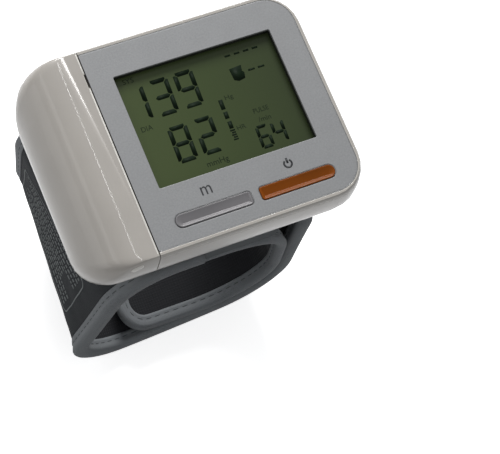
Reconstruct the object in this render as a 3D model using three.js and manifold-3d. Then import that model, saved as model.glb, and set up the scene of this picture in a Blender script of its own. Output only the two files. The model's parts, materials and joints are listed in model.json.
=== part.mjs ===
import * as THREE from 'three';
import { mergeVertices } from 'three/addons/utils/BufferGeometryUtils.js';
import Module from 'manifold-3d';

// Wrist blood pressure monitor, millimetres, +Z out of the display.
// X runs along the housing, with the battery end at -X. Y runs away from the user.
// The origin lies on the floor under the housing's middle, and the closed cuff rests there.

const wasm = await Module();
wasm.setup();

// Shell thickness, and the clearance between neighbouring pieces
const wall = 1.7;
const gap = 0.3;
const overrun = 1;

// Batteries, size AAA, which lie across the housing and set its width and height
const batteryRadius = 5.25;
const batteryLength = 43.6;
const batteryNubRadius = 1.9;
const batteryNubLength = 0.9;
const batterySpacing = 0.4;
const batteryFloorGap = 0.65;
const batteryHeadroom = 4.25;
const batteryEndMargin = 4.75;
const batteryPitch = 2 * batteryRadius + batterySpacing;
const batteryLowHeight = wall + batteryFloorGap + batteryRadius;
const batteryInset = wall + batteryEndMargin + batteryRadius;
const springRadius = 3;
const springWire = 0.25;
const springTurns = 4;
const springLength = 5;
const springSteps = 8;
const springSides = 5;
const contactSize = 6;
const contactThickness = 0.4;
const bayWall = 1.4;
const bayWallTopGap = 1.6;
const bayEndMargin = 7.75;

// Housing
const bodyLength = 85.2;
const bodyWidth = batteryLength + batteryNubLength + springLength + 2 * bayEndMargin;
const bodyHeight = batteryLowHeight + batteryPitch + batteryRadius + batteryHeadroom;
const waistHeight = 19;
const shoulderInset = 1;
const hipInset = 5.8;
const hipSoftness = 0.12;
const footRounding = 1;
const footHeight = 3;
const endCurveLength = 13.8;
const endCurveDrop = 16;
const endTuck = 7;
const frontCornerRadius = 10.5;
const bottomCornerRadius = 8;
const endTopCornerRadius = 2.5;
const endCornerRadius = 9.5;
const endCornerDepth = 14;
const cornerPowerShare = 0.7;
const heightShares = [0, 0.012, 0.05, 0.11, 0.2, 0.31, 0.43, 0.56, 0.68, 0.79, 0.87, 0.93, 0.965, 0.985, 1];
const cornerSteps = 6;
const buttonSteps = 5;

// Where the housing is split
const coverLength = 20;
const coverSkirtHeight = 3.8;
const partingDepth = 1.6;
const seamNotchY = 22.5;
const seamNotchWidth = 4.2;
const seamNotchDepth = 0.5;
const trayLipHeight = 1.5;
const trayLipWall = 1;
const tongueHalfWidth = 4;
const tongueThickness = 1;
const tongueRoot = 3.4;
const tongueReach = 1.7;

// Face panel
const panelThickness = 0.8;
const panelFloor = 1.6;
const panelRim = 1.1;
const panelCornerRadius = 8.5;

// Display
const windowLeftMargin = 7;
const windowRightMargin = 10.2;
const windowNearMargin = 18.85;
const windowFarMargin = 11.15;
const windowWidth = bodyLength - coverLength - windowLeftMargin - windowRightMargin;
const windowHeight = bodyWidth - windowNearMargin - windowFarMargin;
const windowX = (windowWidth - bodyLength) / 2 + coverLength + windowLeftMargin;
const windowY = (bodyWidth - windowHeight) / 2 - windowFarMargin;
const windowCornerRadius = 0.5;
const bezelWall = 0.9;
const glassThickness = 1.4;
const glassBorder = 2.2;
const reflectorThickness = 0.5;
const holderWall = 1.2;
const connectorWidth = 2;
const connectorInset = 1.2;

// Buttons
const buttonOverhang = 0.15;
const buttonWidth = 3.9;
const buttonSpacing = 2.7;
const buttonShift = 0.7;
const buttonNearMargin = 8.25;
const buttonLength = (windowWidth - buttonSpacing) / 2 + buttonOverhang;
const buttonPairX = windowX + buttonShift;
const buttonY = buttonNearMargin - bodyWidth / 2;
const buttonProud = 0.7;
const buttonSquareRadius = 0.9;
const buttonFlange = 0.7;
const buttonFlangeThickness = 0.9;
const buttonTravel = 0.5;
const buttonStemRadius = 1.3;
const buttonBevel = 0.35;
const buttonRoundShare = 0.98;

// Circuit board and what it carries
const boardThickness = 1.6;
const boardDepth = 10.6;
const boardLeftGap = 2.4;
const boardEndGap = 2.6;
const boardSideGap = 3.4;
const boardCornerRadius = 6.5;
const switchSize = 6;
const switchHeight = 3.4;
const plungerRadius = 1.6;
const plungerRise = 0.8;
const chipLength = 12;
const chipWidth = 10;
const chipThickness = 1.2;
const chipShiftX = -10.4;
const chipShiftY = 2.15;
const chipX = windowX + chipShiftX;
const chipY = windowY + chipShiftY;
const sensorSize = 7;
const sensorHeight = 3.2;
const nozzleRadius = 1.3;
const nozzleLength = 2.2;
const buzzerRadius = 6;
const buzzerHeight = 2.2;
const buzzerEndMargin = 14.6;
const buzzerSideMargin = 18.5;
const buzzerX = bodyLength / 2 - buzzerEndMargin;
const buzzerY = buzzerSideMargin - bodyWidth / 2;

// Air pump, valve and tubes
const motorRadius = 6;
const motorLength = 17;
const pumpOffset = 6.6;
const pumpSideMargin = 15.5;
const pumpY = bodyWidth / 2 - pumpSideMargin;
const pumpHeadLength = 9;
const pumpHeadSize = 12.4;
const valveRadius = 4.6;
const valveLength = 15;
const valveOffset = 18.6;
const valveSideMargin = 15.5;
const valveY = valveSideMargin - bodyWidth / 2;
const manifoldLength = 12;
const manifoldWidth = 8;
const manifoldHeight = 6;
const tubeRadius = 2.2;
const tubeSides = 8;
const tubeSteps = 16;
const portRadius = 1.7;
const portShift = 0.3;
const valveFootShare = 0.7;

// Screws and their posts
const postSeamMargin = 4.1;
const postNearMargin = 8.6;
const postFarMargin = 4.8;
const postNearEndMargin = 5.8;
const postFarEndMargin = 9.4;
const postNearEndSideMargin = 8.4;
const postRadius = 3.2;
const bossRadius = 2.3;
const postBore = 1.35;
const screwShankRadius = 1.05;
const screwHeadRadius = 2;
const screwHeadHeight = 1.5;
const screwWellRadius = 2.3;
const screwWellDepth = 13.5;
const screwLength = 10;
const screwSides = 12;

// Cuff: one strap, wound from its inner end, over the wrist, to its outer flap
const cuffDrop = 71;
const strapWidth = 59;
const strapShift = -0.15;
const strapTopY = strapShift - strapWidth / 2;
const skewAtBend = -1.5;
const skewAtTip = 3.5;
const skinThickness = 0.8;
const bladderThickness = 1.5;
const bindingWall = 0.55;
const bindingReach = 4.5;
const bladderMargin = 6;
const bladderStart = 1;
const layerStrips = 3;
const thickStart = -3.3;
const shoulderStart = -10.5;
const shoulderRadius = 20;
const wallLean = 12.2;
const wallFoot = 22.5;
const farShoulderStart = -21.5;
const farShoulderRadius = 15.2;
const farWallLean = -4.2;
const farWallFoot = 36;
const hingeHeight = 19.5;
const floorRunEnd = 12.4;
const flapTurnRadius = 21;
const flapRise = 40;
const flapCornerRadius = 9;
const patchLength = 29;
const patchEndMargin = 9;
const patchMargin = 9;
const patchThickness = 0.35;

// Cuff: the inner end
const tailWidth = 57;
const tailShift = -0.35;
const tailY = tailShift - tailWidth / 2;
const tailSkin = 0.7;
const tailTopRun = 6.1;
const tailEaseRadius = 30;
const tailEaseAngle = 25;
const tailTurnRadius = 18;
const tailTurnAngle = 60;
const tailFall = 14;
const tailFloorRun = 10;
const tailFarFloorRun = 2;
const tailCurlRadius = 25;
const tailCurlAngle = 33;
const tailCornerRadius = 10;

// Seat that holds the cuff to the housing
const seatThickness = 3.1;
const seatEnd = 19.9;
const seatMargin = 1;
const seatEdgeSlope = 1.6;
const seatPegRadius = 2;
const seatPegLength = 1.4;
const seatPegInset = 3.9;
const seatPegMargin = 11.5;
const seatPegX = seatEnd - seatPegInset;
const seatPegY = strapWidth / 2 - seatPegMargin;
const manifoldX = (thickStart + shoulderStart) / 2 + portShift;
const pumpX = manifoldX + pumpOffset;
const valveX = manifoldX + valveOffset;

const topZ = cuffDrop + bodyHeight;
const seamX = coverLength - bodyLength / 2;
const panelTop = topZ;
const panelBottom = topZ - panelThickness;
const plateBottom = panelBottom - panelFloor;
const boardTop = topZ - boardDepth;
const boardBottom = boardTop - boardThickness;
const floorTop = cuffDrop + wall;
const posts = [
  [seamX + postSeamMargin, postNearMargin - bodyWidth / 2],
  [seamX + postSeamMargin, bodyWidth / 2 - postFarMargin],
  [bodyLength / 2 - postNearEndMargin, postNearEndSideMargin - bodyWidth / 2],
  [bodyLength / 2 - postFarEndMargin, bodyWidth / 2 - postFarMargin],
];

// Solids

function toSolid(geometry) {
  const bare = new THREE.BufferGeometry();
  bare.setAttribute('position', geometry.getAttribute('position'));
  if (geometry.index) bare.setIndex(geometry.index);
  const merged = mergeVertices(bare, 1e-4);
  const mesh = new wasm.Mesh({
    numProp: 3,
    vertProperties: new Float32Array(merged.getAttribute('position').array),
    triVerts: new Uint32Array(merged.index.array),
  });
  return new wasm.Manifold(mesh);
}

function toGeometry(solid) {
  const mesh = solid.getMesh();
  const geometry = new THREE.BufferGeometry();
  geometry.setAttribute('position', new THREE.BufferAttribute(mesh.vertProperties, 3));
  geometry.setIndex(new THREE.BufferAttribute(mesh.triVerts, 1));
  return geometry;
}

function joined(...solids) {
  return solids.reduce((sum, solid) => sum.add(solid));
}

function cut(solid, ...tools) {
  return tools.reduce((rest, tool) => rest.subtract(tool), solid);
}

// A box between two corners
function block(x0, x1, y0, y1, z0, z1) {
  const geometry = new THREE.BoxGeometry(x1 - x0, y1 - y0, z1 - z0);
  geometry.translate((x0 + x1) / 2, (y0 + y1) / 2, (z0 + z1) / 2);
  return toSolid(geometry);
}

// An upright round bar between two heights
function rod(x, y, z0, z1, radius, sides = 14) {
  const geometry = new THREE.CylinderGeometry(radius, radius, z1 - z0, sides);
  geometry.rotateX(Math.PI / 2);
  geometry.translate(x, y, (z0 + z1) / 2);
  return toSolid(geometry);
}

// A flat outline raised between two heights
function slab(shape, z0, z1, curveSegments = 3) {
  const geometry = new THREE.ExtrudeGeometry(shape, { depth: z1 - z0, bevelEnabled: false, curveSegments });
  geometry.translate(0, 0, z0);
  return toSolid(geometry);
}

// A turned piece from its half outline of [radius, height] points
function turned(points, sides = 18) {
  const geometry = new THREE.LatheGeometry(points.map(([r, h]) => new THREE.Vector2(r, h)), sides);
  geometry.rotateX(Math.PI / 2);
  return geometry;
}

// A rectangle whose two ends have their own corner radii
function roundedOutline(x0, x1, y0, y1, leftRadius, rightRadius = leftRadius) {
  const shape = new THREE.Shape();
  shape.moveTo(x0 + leftRadius, y0);
  shape.lineTo(x1 - rightRadius, y0);
  shape.absarc(x1 - rightRadius, y0 + rightRadius, rightRadius, -Math.PI / 2, 0);
  shape.lineTo(x1, y1 - rightRadius);
  shape.absarc(x1 - rightRadius, y1 - rightRadius, rightRadius, 0, Math.PI / 2);
  shape.lineTo(x0 + leftRadius, y1);
  shape.absarc(x0 + leftRadius, y1 - leftRadius, leftRadius, Math.PI / 2, Math.PI);
  shape.lineTo(x0, y0 + leftRadius);
  shape.absarc(x0 + leftRadius, y0 + leftRadius, leftRadius, Math.PI, Math.PI * 1.5);
  return shape;
}

// A closed skin over rings that all have the same number of points. The end rings are
// filled from their middle, or with the given faces where the ring is not convex. From the
// turning point on, the four-sided patches are split along their other diagonal.
function skinned(rings, capFaces = null, turning = Infinity) {
  const count = rings[0].length;
  const positions = rings.flat().flat();
  const faces = [];
  for (let level = 0; level < rings.length - 1; level++) {
    for (let i = 0; i < count; i++) {
      const a = level * count + i;
      const b = level * count + (i + 1) % count;
      if (i < turning) faces.push(a, b, b + count, a, b + count, a + count);
      else faces.push(a, b, a + count, b, b + count, a + count);
    }
  }
  const last = (rings.length - 1) * count;
  const cap = (start, flip) => {
    const triples = capFaces ? capFaces.map((face) => face.map((i) => start + i)) : [];
    if (!capFaces) {
      const centre = positions.length / 3;
      const ring = rings[start / count];
      const sum = ring.reduce((s, p) => [s[0] + p[0], s[1] + p[1], s[2] + p[2]], [0, 0, 0]);
      positions.push(...sum.map((value) => value / count));
      for (let i = 0; i < count; i++) triples.push([centre, start + i, start + (i + 1) % count]);
    }
    for (const [i, j, k] of triples) faces.push(i, flip ? k : j, flip ? j : k);
  };
  cap(0, true);
  cap(last, false);
  if (enclosed(positions, faces) < 0) faces.reverse();
  const geometry = new THREE.BufferGeometry();
  geometry.setAttribute('position', new THREE.Float32BufferAttribute(positions, 3));
  geometry.setIndex(faces);
  return geometry;
}

// Six times the volume that a closed skin holds, negative where it is inside out
function enclosed(positions, faces) {
  const point = (i) => new THREE.Vector3(...positions.slice(3 * i, 3 * i + 3));
  let sum = 0;
  for (let i = 0; i < faces.length; i += 3) {
    sum += point(faces[i]).dot(point(faces[i + 1]).cross(point(faces[i + 2])));
  }
  return sum;
}

// Housing form

function quarter(share) {
  return 1 - Math.sqrt(Math.max(0, 1 - share * share));
}

// Zero to one along a straight line that leaves zero in a soft curve
function eased(share) {
  return (Math.hypot(share, hipSoftness) - hipSoftness) / (Math.hypot(1, hipSoftness) - hipSoftness);
}

// How far the housing reaches each way at a height above its underside
function bodyReach(height) {
  const above = Math.max(0, height - waistHeight) / (bodyHeight - waistHeight);
  const below = Math.max(0, waistHeight - height) / waistHeight;
  const foot = Math.max(0, 1 - height / footHeight);
  const tuck = shoulderInset * quarter(above) + hipInset * eased(below) + footRounding * quarter(foot);
  const endWaist = bodyHeight - endCurveDrop;
  const endAbove = Math.max(0, height - endWaist) / endCurveDrop;
  const endBelow = Math.max(0, endWaist - height) / endWaist;
  const endInset = endCurveLength * quarter(endAbove) + endTuck * quarter(endBelow);
  const depth = Math.min(1, (bodyHeight - height) / endCornerDepth);
  const growth = Math.pow(depth, cornerPowerShare);
  return {
    left: endInset - bodyLength / 2,
    right: bodyLength / 2 - tuck,
    side: bodyWidth / 2 - tuck,
    leftRadius: endTopCornerRadius + (endCornerRadius - endTopCornerRadius) * growth,
    rightRadius: frontCornerRadius - (frontCornerRadius - bottomCornerRadius) * quarter(below),
  };
}

function bodyRing(reach, inset, z) {
  const leftRadius = Math.max(reach.leftRadius - inset, endTopCornerRadius / 2);
  const rightRadius = reach.rightRadius - inset;
  const corners = [
    [reach.right - inset - rightRadius, inset - reach.side + rightRadius, rightRadius, -1],
    [reach.right - inset - rightRadius, reach.side - inset - rightRadius, rightRadius, 0],
    [reach.left + inset + leftRadius, reach.side - inset - leftRadius, leftRadius, 1],
    [reach.left + inset + leftRadius, inset - reach.side + leftRadius, leftRadius, 2],
  ];
  const ring = [];
  for (const [x, y, radius, turn] of corners) {
    for (let i = 0; i <= cornerSteps; i++) {
      const angle = (turn + i / cornerSteps) * Math.PI / 2;
      ring.push([x + radius * Math.cos(angle), y + radius * Math.sin(angle), z]);
    }
  }
  return ring;
}

// The housing's whole outer form, or the same drawn in by an inset and raised off its underside
function bodyForm(inset, rise = inset) {
  const rings = heightShares.map((share) => {
    const z = cuffDrop + rise + share * (bodyHeight - inset - rise);
    return bodyRing(bodyReach(share * bodyHeight), inset, z);
  });
  return toSolid(skinned(rings));
}

const outerForm = bodyForm(0);
const innerForm = bodyForm(wall);
const clearForm = bodyForm(wall + gap);
const lipForm = bodyForm(wall + gap + trayLipWall, wall);
const shell = cut(outerForm, innerForm);
const farOut = bodyLength;
const coverZone = block(-farOut, seamX - gap / 2, -farOut, farOut, cuffDrop + coverSkirtHeight + gap, topZ + farOut);
const coverZoneWide = block(-farOut, seamX + gap / 2, -farOut, farOut, cuffDrop + coverSkirtHeight, topZ + farOut);
const partingZ = topZ - partingDepth;
const bayWallTop = topZ - wall - bayWallTopGap;

// Places that several pieces share

const buttonCentres = {
  memory: buttonPairX - (buttonLength + buttonSpacing) / 2,
  power: buttonPairX + (buttonLength + buttonSpacing) / 2,
};
const batteryX = batteryInset - bodyLength / 2;
const batteryHeights = [batteryLowHeight, batteryLowHeight + batteryPitch].map((h) => cuffDrop + h);
const contactFace = (batteryLength + batteryNubLength + springLength) / 2;
const bayInnerY = contactFace + contactThickness;
const panelLeft = seamX + gap / 2;
const panelRight = bodyLength / 2 - shoulderInset - panelRim;
const panelSide = bodyWidth / 2 - shoulderInset - panelRim;
const tongueTop = plateBottom - gap;
const tongueBottom = tongueTop - tongueThickness;

function windowOutline(grow) {
  const halfWidth = windowWidth / 2 + grow;
  const halfHeight = windowHeight / 2 + grow;
  return roundedOutline(windowX - halfWidth, windowX + halfWidth, windowY - halfHeight,
    windowY + halfHeight, windowCornerRadius);
}

// One end of each button is round and the end next to its twin is square
function buttonOutline(centre, grow) {
  const half = buttonLength / 2 + grow;
  const halfWidth = buttonWidth / 2 + grow;
  const roundLeft = centre < buttonPairX;
  const round = halfWidth * buttonRoundShare;
  const square = buttonSquareRadius + grow;
  return roundedOutline(centre - half, centre + half, buttonY - halfWidth, buttonY + halfWidth,
    roundLeft ? round : square, roundLeft ? square : round);
}

function buttonHoles(z0, z1, grow) {
  return Object.values(buttonCentres).map((x) => slab(buttonOutline(x, grow), z0, z1, buttonSteps));
}

// The tub's mouth and the lid's plate that drops into it share one outline
function mouthOutline(inset) {
  const reach = bodyReach(bodyHeight - partingDepth);
  return roundedOutline(seamX + gap / 2, reach.right - inset, inset - reach.side, reach.side - inset,
    windowCornerRadius, reach.rightRadius - inset);
}

// Lower case: the deep tub, its screw posts, the battery bay, the lip that guides the
// battery cover, and the holes for the air port and the seat's pegs
function lowerCase() {
  const belowParting = block(-farOut, farOut, -farOut, farOut, cuffDrop - overrun, partingZ);
  const mouth = slab(mouthOutline(wall), plateBottom - gap, topZ + overrun, cornerSteps);
  const tub = cut(shell.intersect(belowParting), coverZoneWide, mouth);
  const walls = joined(
    block(seamX - bayWall, seamX + bayWall, -farOut, farOut, cuffDrop, plateBottom - gap),
    ...[-1, 1].map((side) => {
      const ends = [side * bayInnerY, side * (bayInnerY + bayWall)].sort((a, b) => a - b);
      return block(batteryX - batteryRadius, seamX, ends[0], ends[1], cuffDrop, bayWallTop);
    }),
  );
  const foot = block(-farOut, farOut, -farOut, farOut, cuffDrop, cuffDrop + coverSkirtHeight);
  const dividerEdge = block(seamX + gap / 2, seamX + bayWall, -farOut, farOut, cuffDrop, plateBottom - gap);
  const lipZone = block(-farOut, seamX, -farOut, farOut, cuffDrop + wall,
    cuffDrop + coverSkirtHeight + trayLipHeight);
  const lip = cut(clearForm.intersect(lipZone), lipForm);
  const lipFoot = cut(outerForm, lipForm).intersect(foot);
  const columns = posts.map(([x, y]) => rod(x, y, cuffDrop, boardBottom, postRadius));
  const solid = joined(tub, walls.intersect(clearForm), walls.intersect(foot).intersect(outerForm),
    dividerEdge.intersect(outerForm), lip, lipFoot.intersect(lipZone),
    ...columns.map((column) => column.intersect(outerForm)));
  const wells = posts.flatMap(([x, y]) => [
    rod(x, y, cuffDrop - overrun, cuffDrop + screwWellDepth, screwWellRadius),
    rod(x, y, cuffDrop - overrun, boardBottom + overrun, postBore),
  ]);
  const pegHoles = [-1, 1].map((side) => rod(seatPegX, side * seatPegY, cuffDrop - overrun,
    floorTop + overrun, seatPegRadius + gap));
  const notch = block(seamX - overrun - bayWall, seamX + bayWall + overrun, -tongueHalfWidth - gap,
    tongueHalfWidth + gap, tongueBottom - gap, topZ);
  const cells = batteryHeights.map((z) => crossRod(batteryX, -bayInnerY, bayInnerY, z, batteryRadius + gap, 20));
  return cut(solid, ...wells, ...pegHoles, ...cells, portHole(), notch);
}

// Upper case: the lid that frames the panel, with the display and button openings
// and the bosses that take the screws
function upperCase() {
  const rimZone = block(seamX + gap / 2, farOut, -farOut, farOut, partingZ + gap / 2, topZ + overrun);
  const plate = slab(mouthOutline(wall + gap), plateBottom, partingZ + gap, cornerSteps);
  const bosses = posts.map(([x, y]) => rod(x, y, boardTop, plateBottom + gap, bossRadius));
  const solid = joined(outerForm.intersect(rimZone), plate, joined(...bosses).intersect(clearForm));
  const bores = posts.map(([x, y]) => rod(x, y, boardTop - overrun, plateBottom, postBore));
  return cut(solid, slab(panelOutline(gap), panelBottom, topZ + overrun, cornerSteps),
    slab(windowOutline(bezelWall + gap), plateBottom - overrun, topZ + overrun),
    ...buttonHoles(plateBottom - overrun, topZ + overrun, gap), ...bores);
}

function panelOutline(grow) {
  return roundedOutline(panelLeft - grow, panelRight + grow, -panelSide - grow, panelSide + grow,
    windowCornerRadius, panelCornerRadius + grow);
}

function facePanel() {
  const plate = slab(panelOutline(0), panelBottom, panelTop, cornerSteps);
  const window = slab(windowOutline(0), panelBottom - overrun, panelTop + overrun);
  return cut(plate, window, ...buttonHoles(panelBottom - overrun, panelTop + overrun, gap));
}

// Battery cover: the rounded end of the housing as a thin shell, notched at the seam,
// with a latch tongue that reaches over the bay's divider and under the lid
function batteryCover() {
  const notch = block(seamX - seamNotchDepth, seamX, seamNotchY - seamNotchWidth / 2,
    seamNotchY + seamNotchWidth / 2, topZ - 2 * wall, topZ + overrun);
  const hanger = block(seamX - tongueRoot, seamX - gap / 2, -tongueHalfWidth, tongueHalfWidth,
    tongueBottom, topZ - wall + gap);
  const tongue = block(seamX - tongueRoot, seamX + tongueReach, -tongueHalfWidth, tongueHalfWidth,
    tongueBottom, tongueTop);
  return joined(cut(shell.intersect(coverZone), notch), hanger.intersect(outerForm), tongue);
}

// Cuff geometry: the strap's middle line as points of a path in X and Z

function startPath(x, z, heading) {
  return [{ x, z, heading }];
}

function straight(path, length, steps) {
  const from = path.at(-1);
  const angle = THREE.MathUtils.degToRad(from.heading);
  for (let i = 1; i <= steps; i++) {
    const run = length * i / steps;
    path.push({ x: from.x + run * Math.cos(angle), z: from.z + run * Math.sin(angle), heading: from.heading });
  }
}

// A bend of the path: a positive angle turns left, a negative one turns right
function bend(path, radius, angle, steps) {
  const from = path.at(-1);
  const side = Math.sign(angle);
  const start = THREE.MathUtils.degToRad(from.heading);
  const cx = from.x - side * radius * Math.sin(start);
  const cz = from.z + side * radius * Math.cos(start);
  for (let i = 1; i <= steps; i++) {
    const heading = from.heading + angle * i / steps;
    const turn = THREE.MathUtils.degToRad(heading);
    path.push({ x: cx + side * radius * Math.sin(turn), z: cz - side * radius * Math.cos(turn), heading });
  }
}

const strapLayers = 2 * skinThickness + bladderThickness + 2 * gap;
const strapEdge = strapLayers + 2 * gap + 2 * bindingWall;
const tailLayers = 2 * tailSkin + gap;
const tailEdge = tailLayers + 2 * gap + 2 * bindingWall;
const strapTopZ = cuffDrop - strapEdge / 2;
const strapFloorZ = strapEdge / 2;
const tailTopZ = cuffDrop - seatThickness - tailEdge / 2;
const tailFloorZ = strapEdge + gap + tailEdge / 2;

// The radius of the lower bend, which leads from a side's wall to the floor
function lowerRadius({ lean, foot }) {
  return (foot - strapFloorZ) / (1 + Math.sin(THREE.MathUtils.degToRad(lean)));
}

// The fixed stretch: along the underside, down the battery end and into the lower bend as
// far as the hinge line. The far edge follows the underside further than the near edge.
function rootPath(edge) {
  const path = startPath(thickStart, strapTopZ, 180);
  straight(path, thickStart - edge.start, 1);
  bend(path, edge.radius, 90 - edge.lean, 8);
  const drop = path.at(-1).z - edge.foot;
  straight(path, drop / Math.cos(THREE.MathUtils.degToRad(edge.lean)), 3);
  const radius = lowerRadius(edge);
  const level = Math.asin((hingeHeight - strapFloorZ) / radius - 1);
  bend(path, radius, edge.lean - THREE.MathUtils.radToDeg(level), 4);
  return path;
}

// The outer flap: round the lower bend, along the floor and up the other side
function flapPath(edge) {
  const from = rootPath(edge).at(-1);
  const path = startPath(from.x, from.z, from.heading);
  bend(path, lowerRadius(edge), 360 - from.heading, 9);
  straight(path, floorRunEnd - path.at(-1).x, 3);
  bend(path, flapTurnRadius, 90, 8);
  straight(path, flapRise, 4);
  return path;
}

// The inner end, over the wrist and back along the floor
function tailRootPath() {
  const path = startPath(thickStart + gap, tailTopZ, 0);
  straight(path, tailTopRun, 1);
  bend(path, tailEaseRadius, -tailEaseAngle, 4);
  return path;
}

function tailPath(floorRun) {
  const from = tailRootPath().at(-1);
  const path = startPath(from.x, from.z, from.heading);
  bend(path, tailTurnRadius, -tailTurnAngle, 6);
  straight(path, tailFall, 1);
  const low = path.at(-1);
  const remaining = 180 - tailEaseAngle - tailTurnAngle;
  const cosLow = Math.cos(THREE.MathUtils.degToRad(low.heading));
  bend(path, (low.z - tailFloorZ) / (1 + cosLow), -remaining, 9);
  straight(path, floorRun, 1);
  bend(path, tailCurlRadius, -tailCurlAngle, 4);
  return path;
}

// A strap is held as its near and far middle lines. Each point of it is reached by its run
// along the strap, a share of its width and an offset outward from the wrist.
function makeStrap(near, far, nearY, width, side, skew) {
  const runs = [0];
  for (let i = 1; i < near.length; i++) {
    const step = Math.hypot(near[i].x - near[i - 1].x, near[i].z - near[i - 1].z);
    runs.push(runs[i - 1] + step);
  }
  const length = runs.at(-1);
  const place = (run, across, offset) => {
    let i = 0;
    while (i < runs.length - 2 && run > runs[i + 1]) i++;
    const share = (run - runs[i]) / (runs[i + 1] - runs[i]);
    const mix = across / width;
    const at = (line) => {
      const a = line[i];
      const b = line[i + 1];
      const heading = THREE.MathUtils.degToRad(a.heading + (b.heading - a.heading) * share);
      return {
        x: a.x + (b.x - a.x) * share + side * offset * Math.sin(heading),
        z: a.z + (b.z - a.z) * share - side * offset * Math.cos(heading),
      };
    };
    const p = at(near);
    const q = at(far);
    const y = nearY + across + skew(run / length);
    return [p.x + (q.x - p.x) * mix, y, p.z + (q.z - p.z) * mix];
  };
  return { runs, length, width, place };
}

function smooth(share) {
  return share * share * (3 - 2 * share);
}

// A layer of a strap between two runs, two distances across and two offsets.
// Rounded corners at its end take their radius.
function layer(strap, run0, run1, across0, across1, low, high, cornerRadius = 0) {
  const stops = strap.runs.filter((r) => r > run0 + gap && r < run1 - cornerRadius - gap);
  const all = [run0, ...stops];
  const cornerStops = cornerRadius > 0 ? 5 : 0;
  all.push(run1 - cornerRadius);
  for (let i = 1; i <= cornerStops; i++) {
    const angle = Math.PI / 2 * i / cornerStops;
    all.push(run1 - cornerRadius + cornerRadius * Math.sin(angle));
  }
  const rings = all.map((run) => {
    const into = Math.max(0, run - (run1 - cornerRadius));
    const drawn = cornerRadius - Math.sqrt(Math.max(0, cornerRadius * cornerRadius - into * into));
    const stepAcross = (across1 - across0 - 2 * drawn) / layerStrips;
    const along = (offset) => Array.from({ length: layerStrips + 1 },
      (_, k) => strap.place(run, across0 + drawn + k * stepAcross, offset));
    return [...along(low), ...along(high).reverse()];
  });
  const last = 2 * layerStrips + 1;
  const caps = [];
  for (let k = 0; k < layerStrips; k++) caps.push([k, k + 1, last - k - 1], [k, last - k - 1, last - k]);
  return skinned(rings, caps, layerStrips + 1);
}

// The folded tape along an edge: a U section swept along a list of [run, across] points.
// Each point also gives the direction into the strap.
function tape(strap, route, reach, slot, tapeWall) {
  const outer = slot / 2 + tapeWall;
  const inner = slot / 2;
  const section = [
    [0, -outer], [reach, -outer], [reach, -inner], [tapeWall, -inner],
    [tapeWall, inner], [reach, inner], [reach, outer], [0, outer],
  ];
  const rings = route.map(([run, across, inRun, inAcross]) => section.map(([depth, offset]) => (
    strap.place(run + depth * inRun, across + depth * inAcross, offset))));
  return skinned(rings, [[0, 1, 2], [0, 2, 3], [0, 3, 4], [0, 4, 7], [4, 5, 6], [4, 6, 7]]);
}

// The route of a tape along one straight edge
function edgeRoute(strap, run0, run1, across, inward) {
  const stops = strap.runs.filter((r) => r > run0 + gap && r < run1 - gap);
  return [run0, ...stops, run1].map((run) => [run, across, 0, inward]);
}

// The route of a tape along the near edge, round the end and back along the far edge
function endRoute(strap, run0, run1, radius) {
  const near = edgeRoute(strap, run0, run1 - radius, 0, 1);
  const far = edgeRoute(strap, run0, run1 - radius, strap.width, -1).reverse();
  const steps = 5;
  const corner = (centreAcross, sign) => {
    const points = [];
    for (let i = 1; i < steps; i++) {
      const angle = Math.PI / 2 * i / steps;
      const along = Math.sin(angle);
      const over = Math.cos(angle);
      points.push([run1 - radius + radius * along, centreAcross - sign * radius * over, -along, sign * over]);
    }
    return points;
  };
  const nearCorner = corner(radius, 1);
  const farCorner = corner(strap.width - radius, -1).reverse();
  const tip = [[run1, radius, -1, 0], [run1, strap.width - radius, -1, 0]];
  return [...near, ...nearCorner, ...tip, ...farCorner, ...far];
}

const nearEdge = { start: shoulderStart, radius: shoulderRadius, lean: wallLean, foot: wallFoot };
const farEdge = { start: farShoulderStart, radius: farShoulderRadius, lean: farWallLean, foot: farWallFoot };
const rootStrap = makeStrap(rootPath(nearEdge), rootPath(farEdge), strapTopY, strapWidth, 1,
  (share) => skewAtBend * smooth(share));
const flapStrap = makeStrap(flapPath(nearEdge), flapPath(farEdge), strapTopY, strapWidth, 1,
  (share) => skewAtBend + (skewAtTip - skewAtBend) * smooth(share));
const tailRootStrap = makeStrap(tailRootPath(), tailRootPath(), tailY, tailWidth, -1, () => 0);
const tailStrap = makeStrap(tailPath(tailFloorRun), tailPath(tailFarFloorRun), tailY, tailWidth, -1, () => 0);

const edgeInset = bindingWall + gap;
const bladderLow = skinThickness + gap - strapLayers / 2;
const bladderHigh = bladderLow + bladderThickness;

// The three layers of a strap, from the wrist outward
function strapLayer(strap, run0, run1, name, corner) {
  const half = strapLayers / 2;
  const radius = Math.max(0, corner - edgeInset);
  const end = corner > 0 ? run1 - edgeInset : run1;
  if (name === 'lining') {
    return layer(strap, run0, end, edgeInset, strap.width - edgeInset, -half, -half + skinThickness, radius);
  }
  if (name === 'outer') {
    return layer(strap, run0, end, edgeInset, strap.width - edgeInset, half - skinThickness, half, radius);
  }
  return layer(strap, run0, run1 - (corner > 0 ? bladderMargin : 0), bladderMargin,
    strap.width - bladderMargin, bladderLow, bladderHigh);
}

function tailLayer(strap, run0, run1, name, corner) {
  const half = tailLayers / 2;
  const radius = Math.max(0, corner - edgeInset);
  const end = corner > 0 ? run1 - edgeInset : run1;
  const low = name === 'lining' ? -half : half - tailSkin;
  return layer(strap, run0, end, edgeInset, strap.width - edgeInset, low, low + tailSkin, radius);
}

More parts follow.
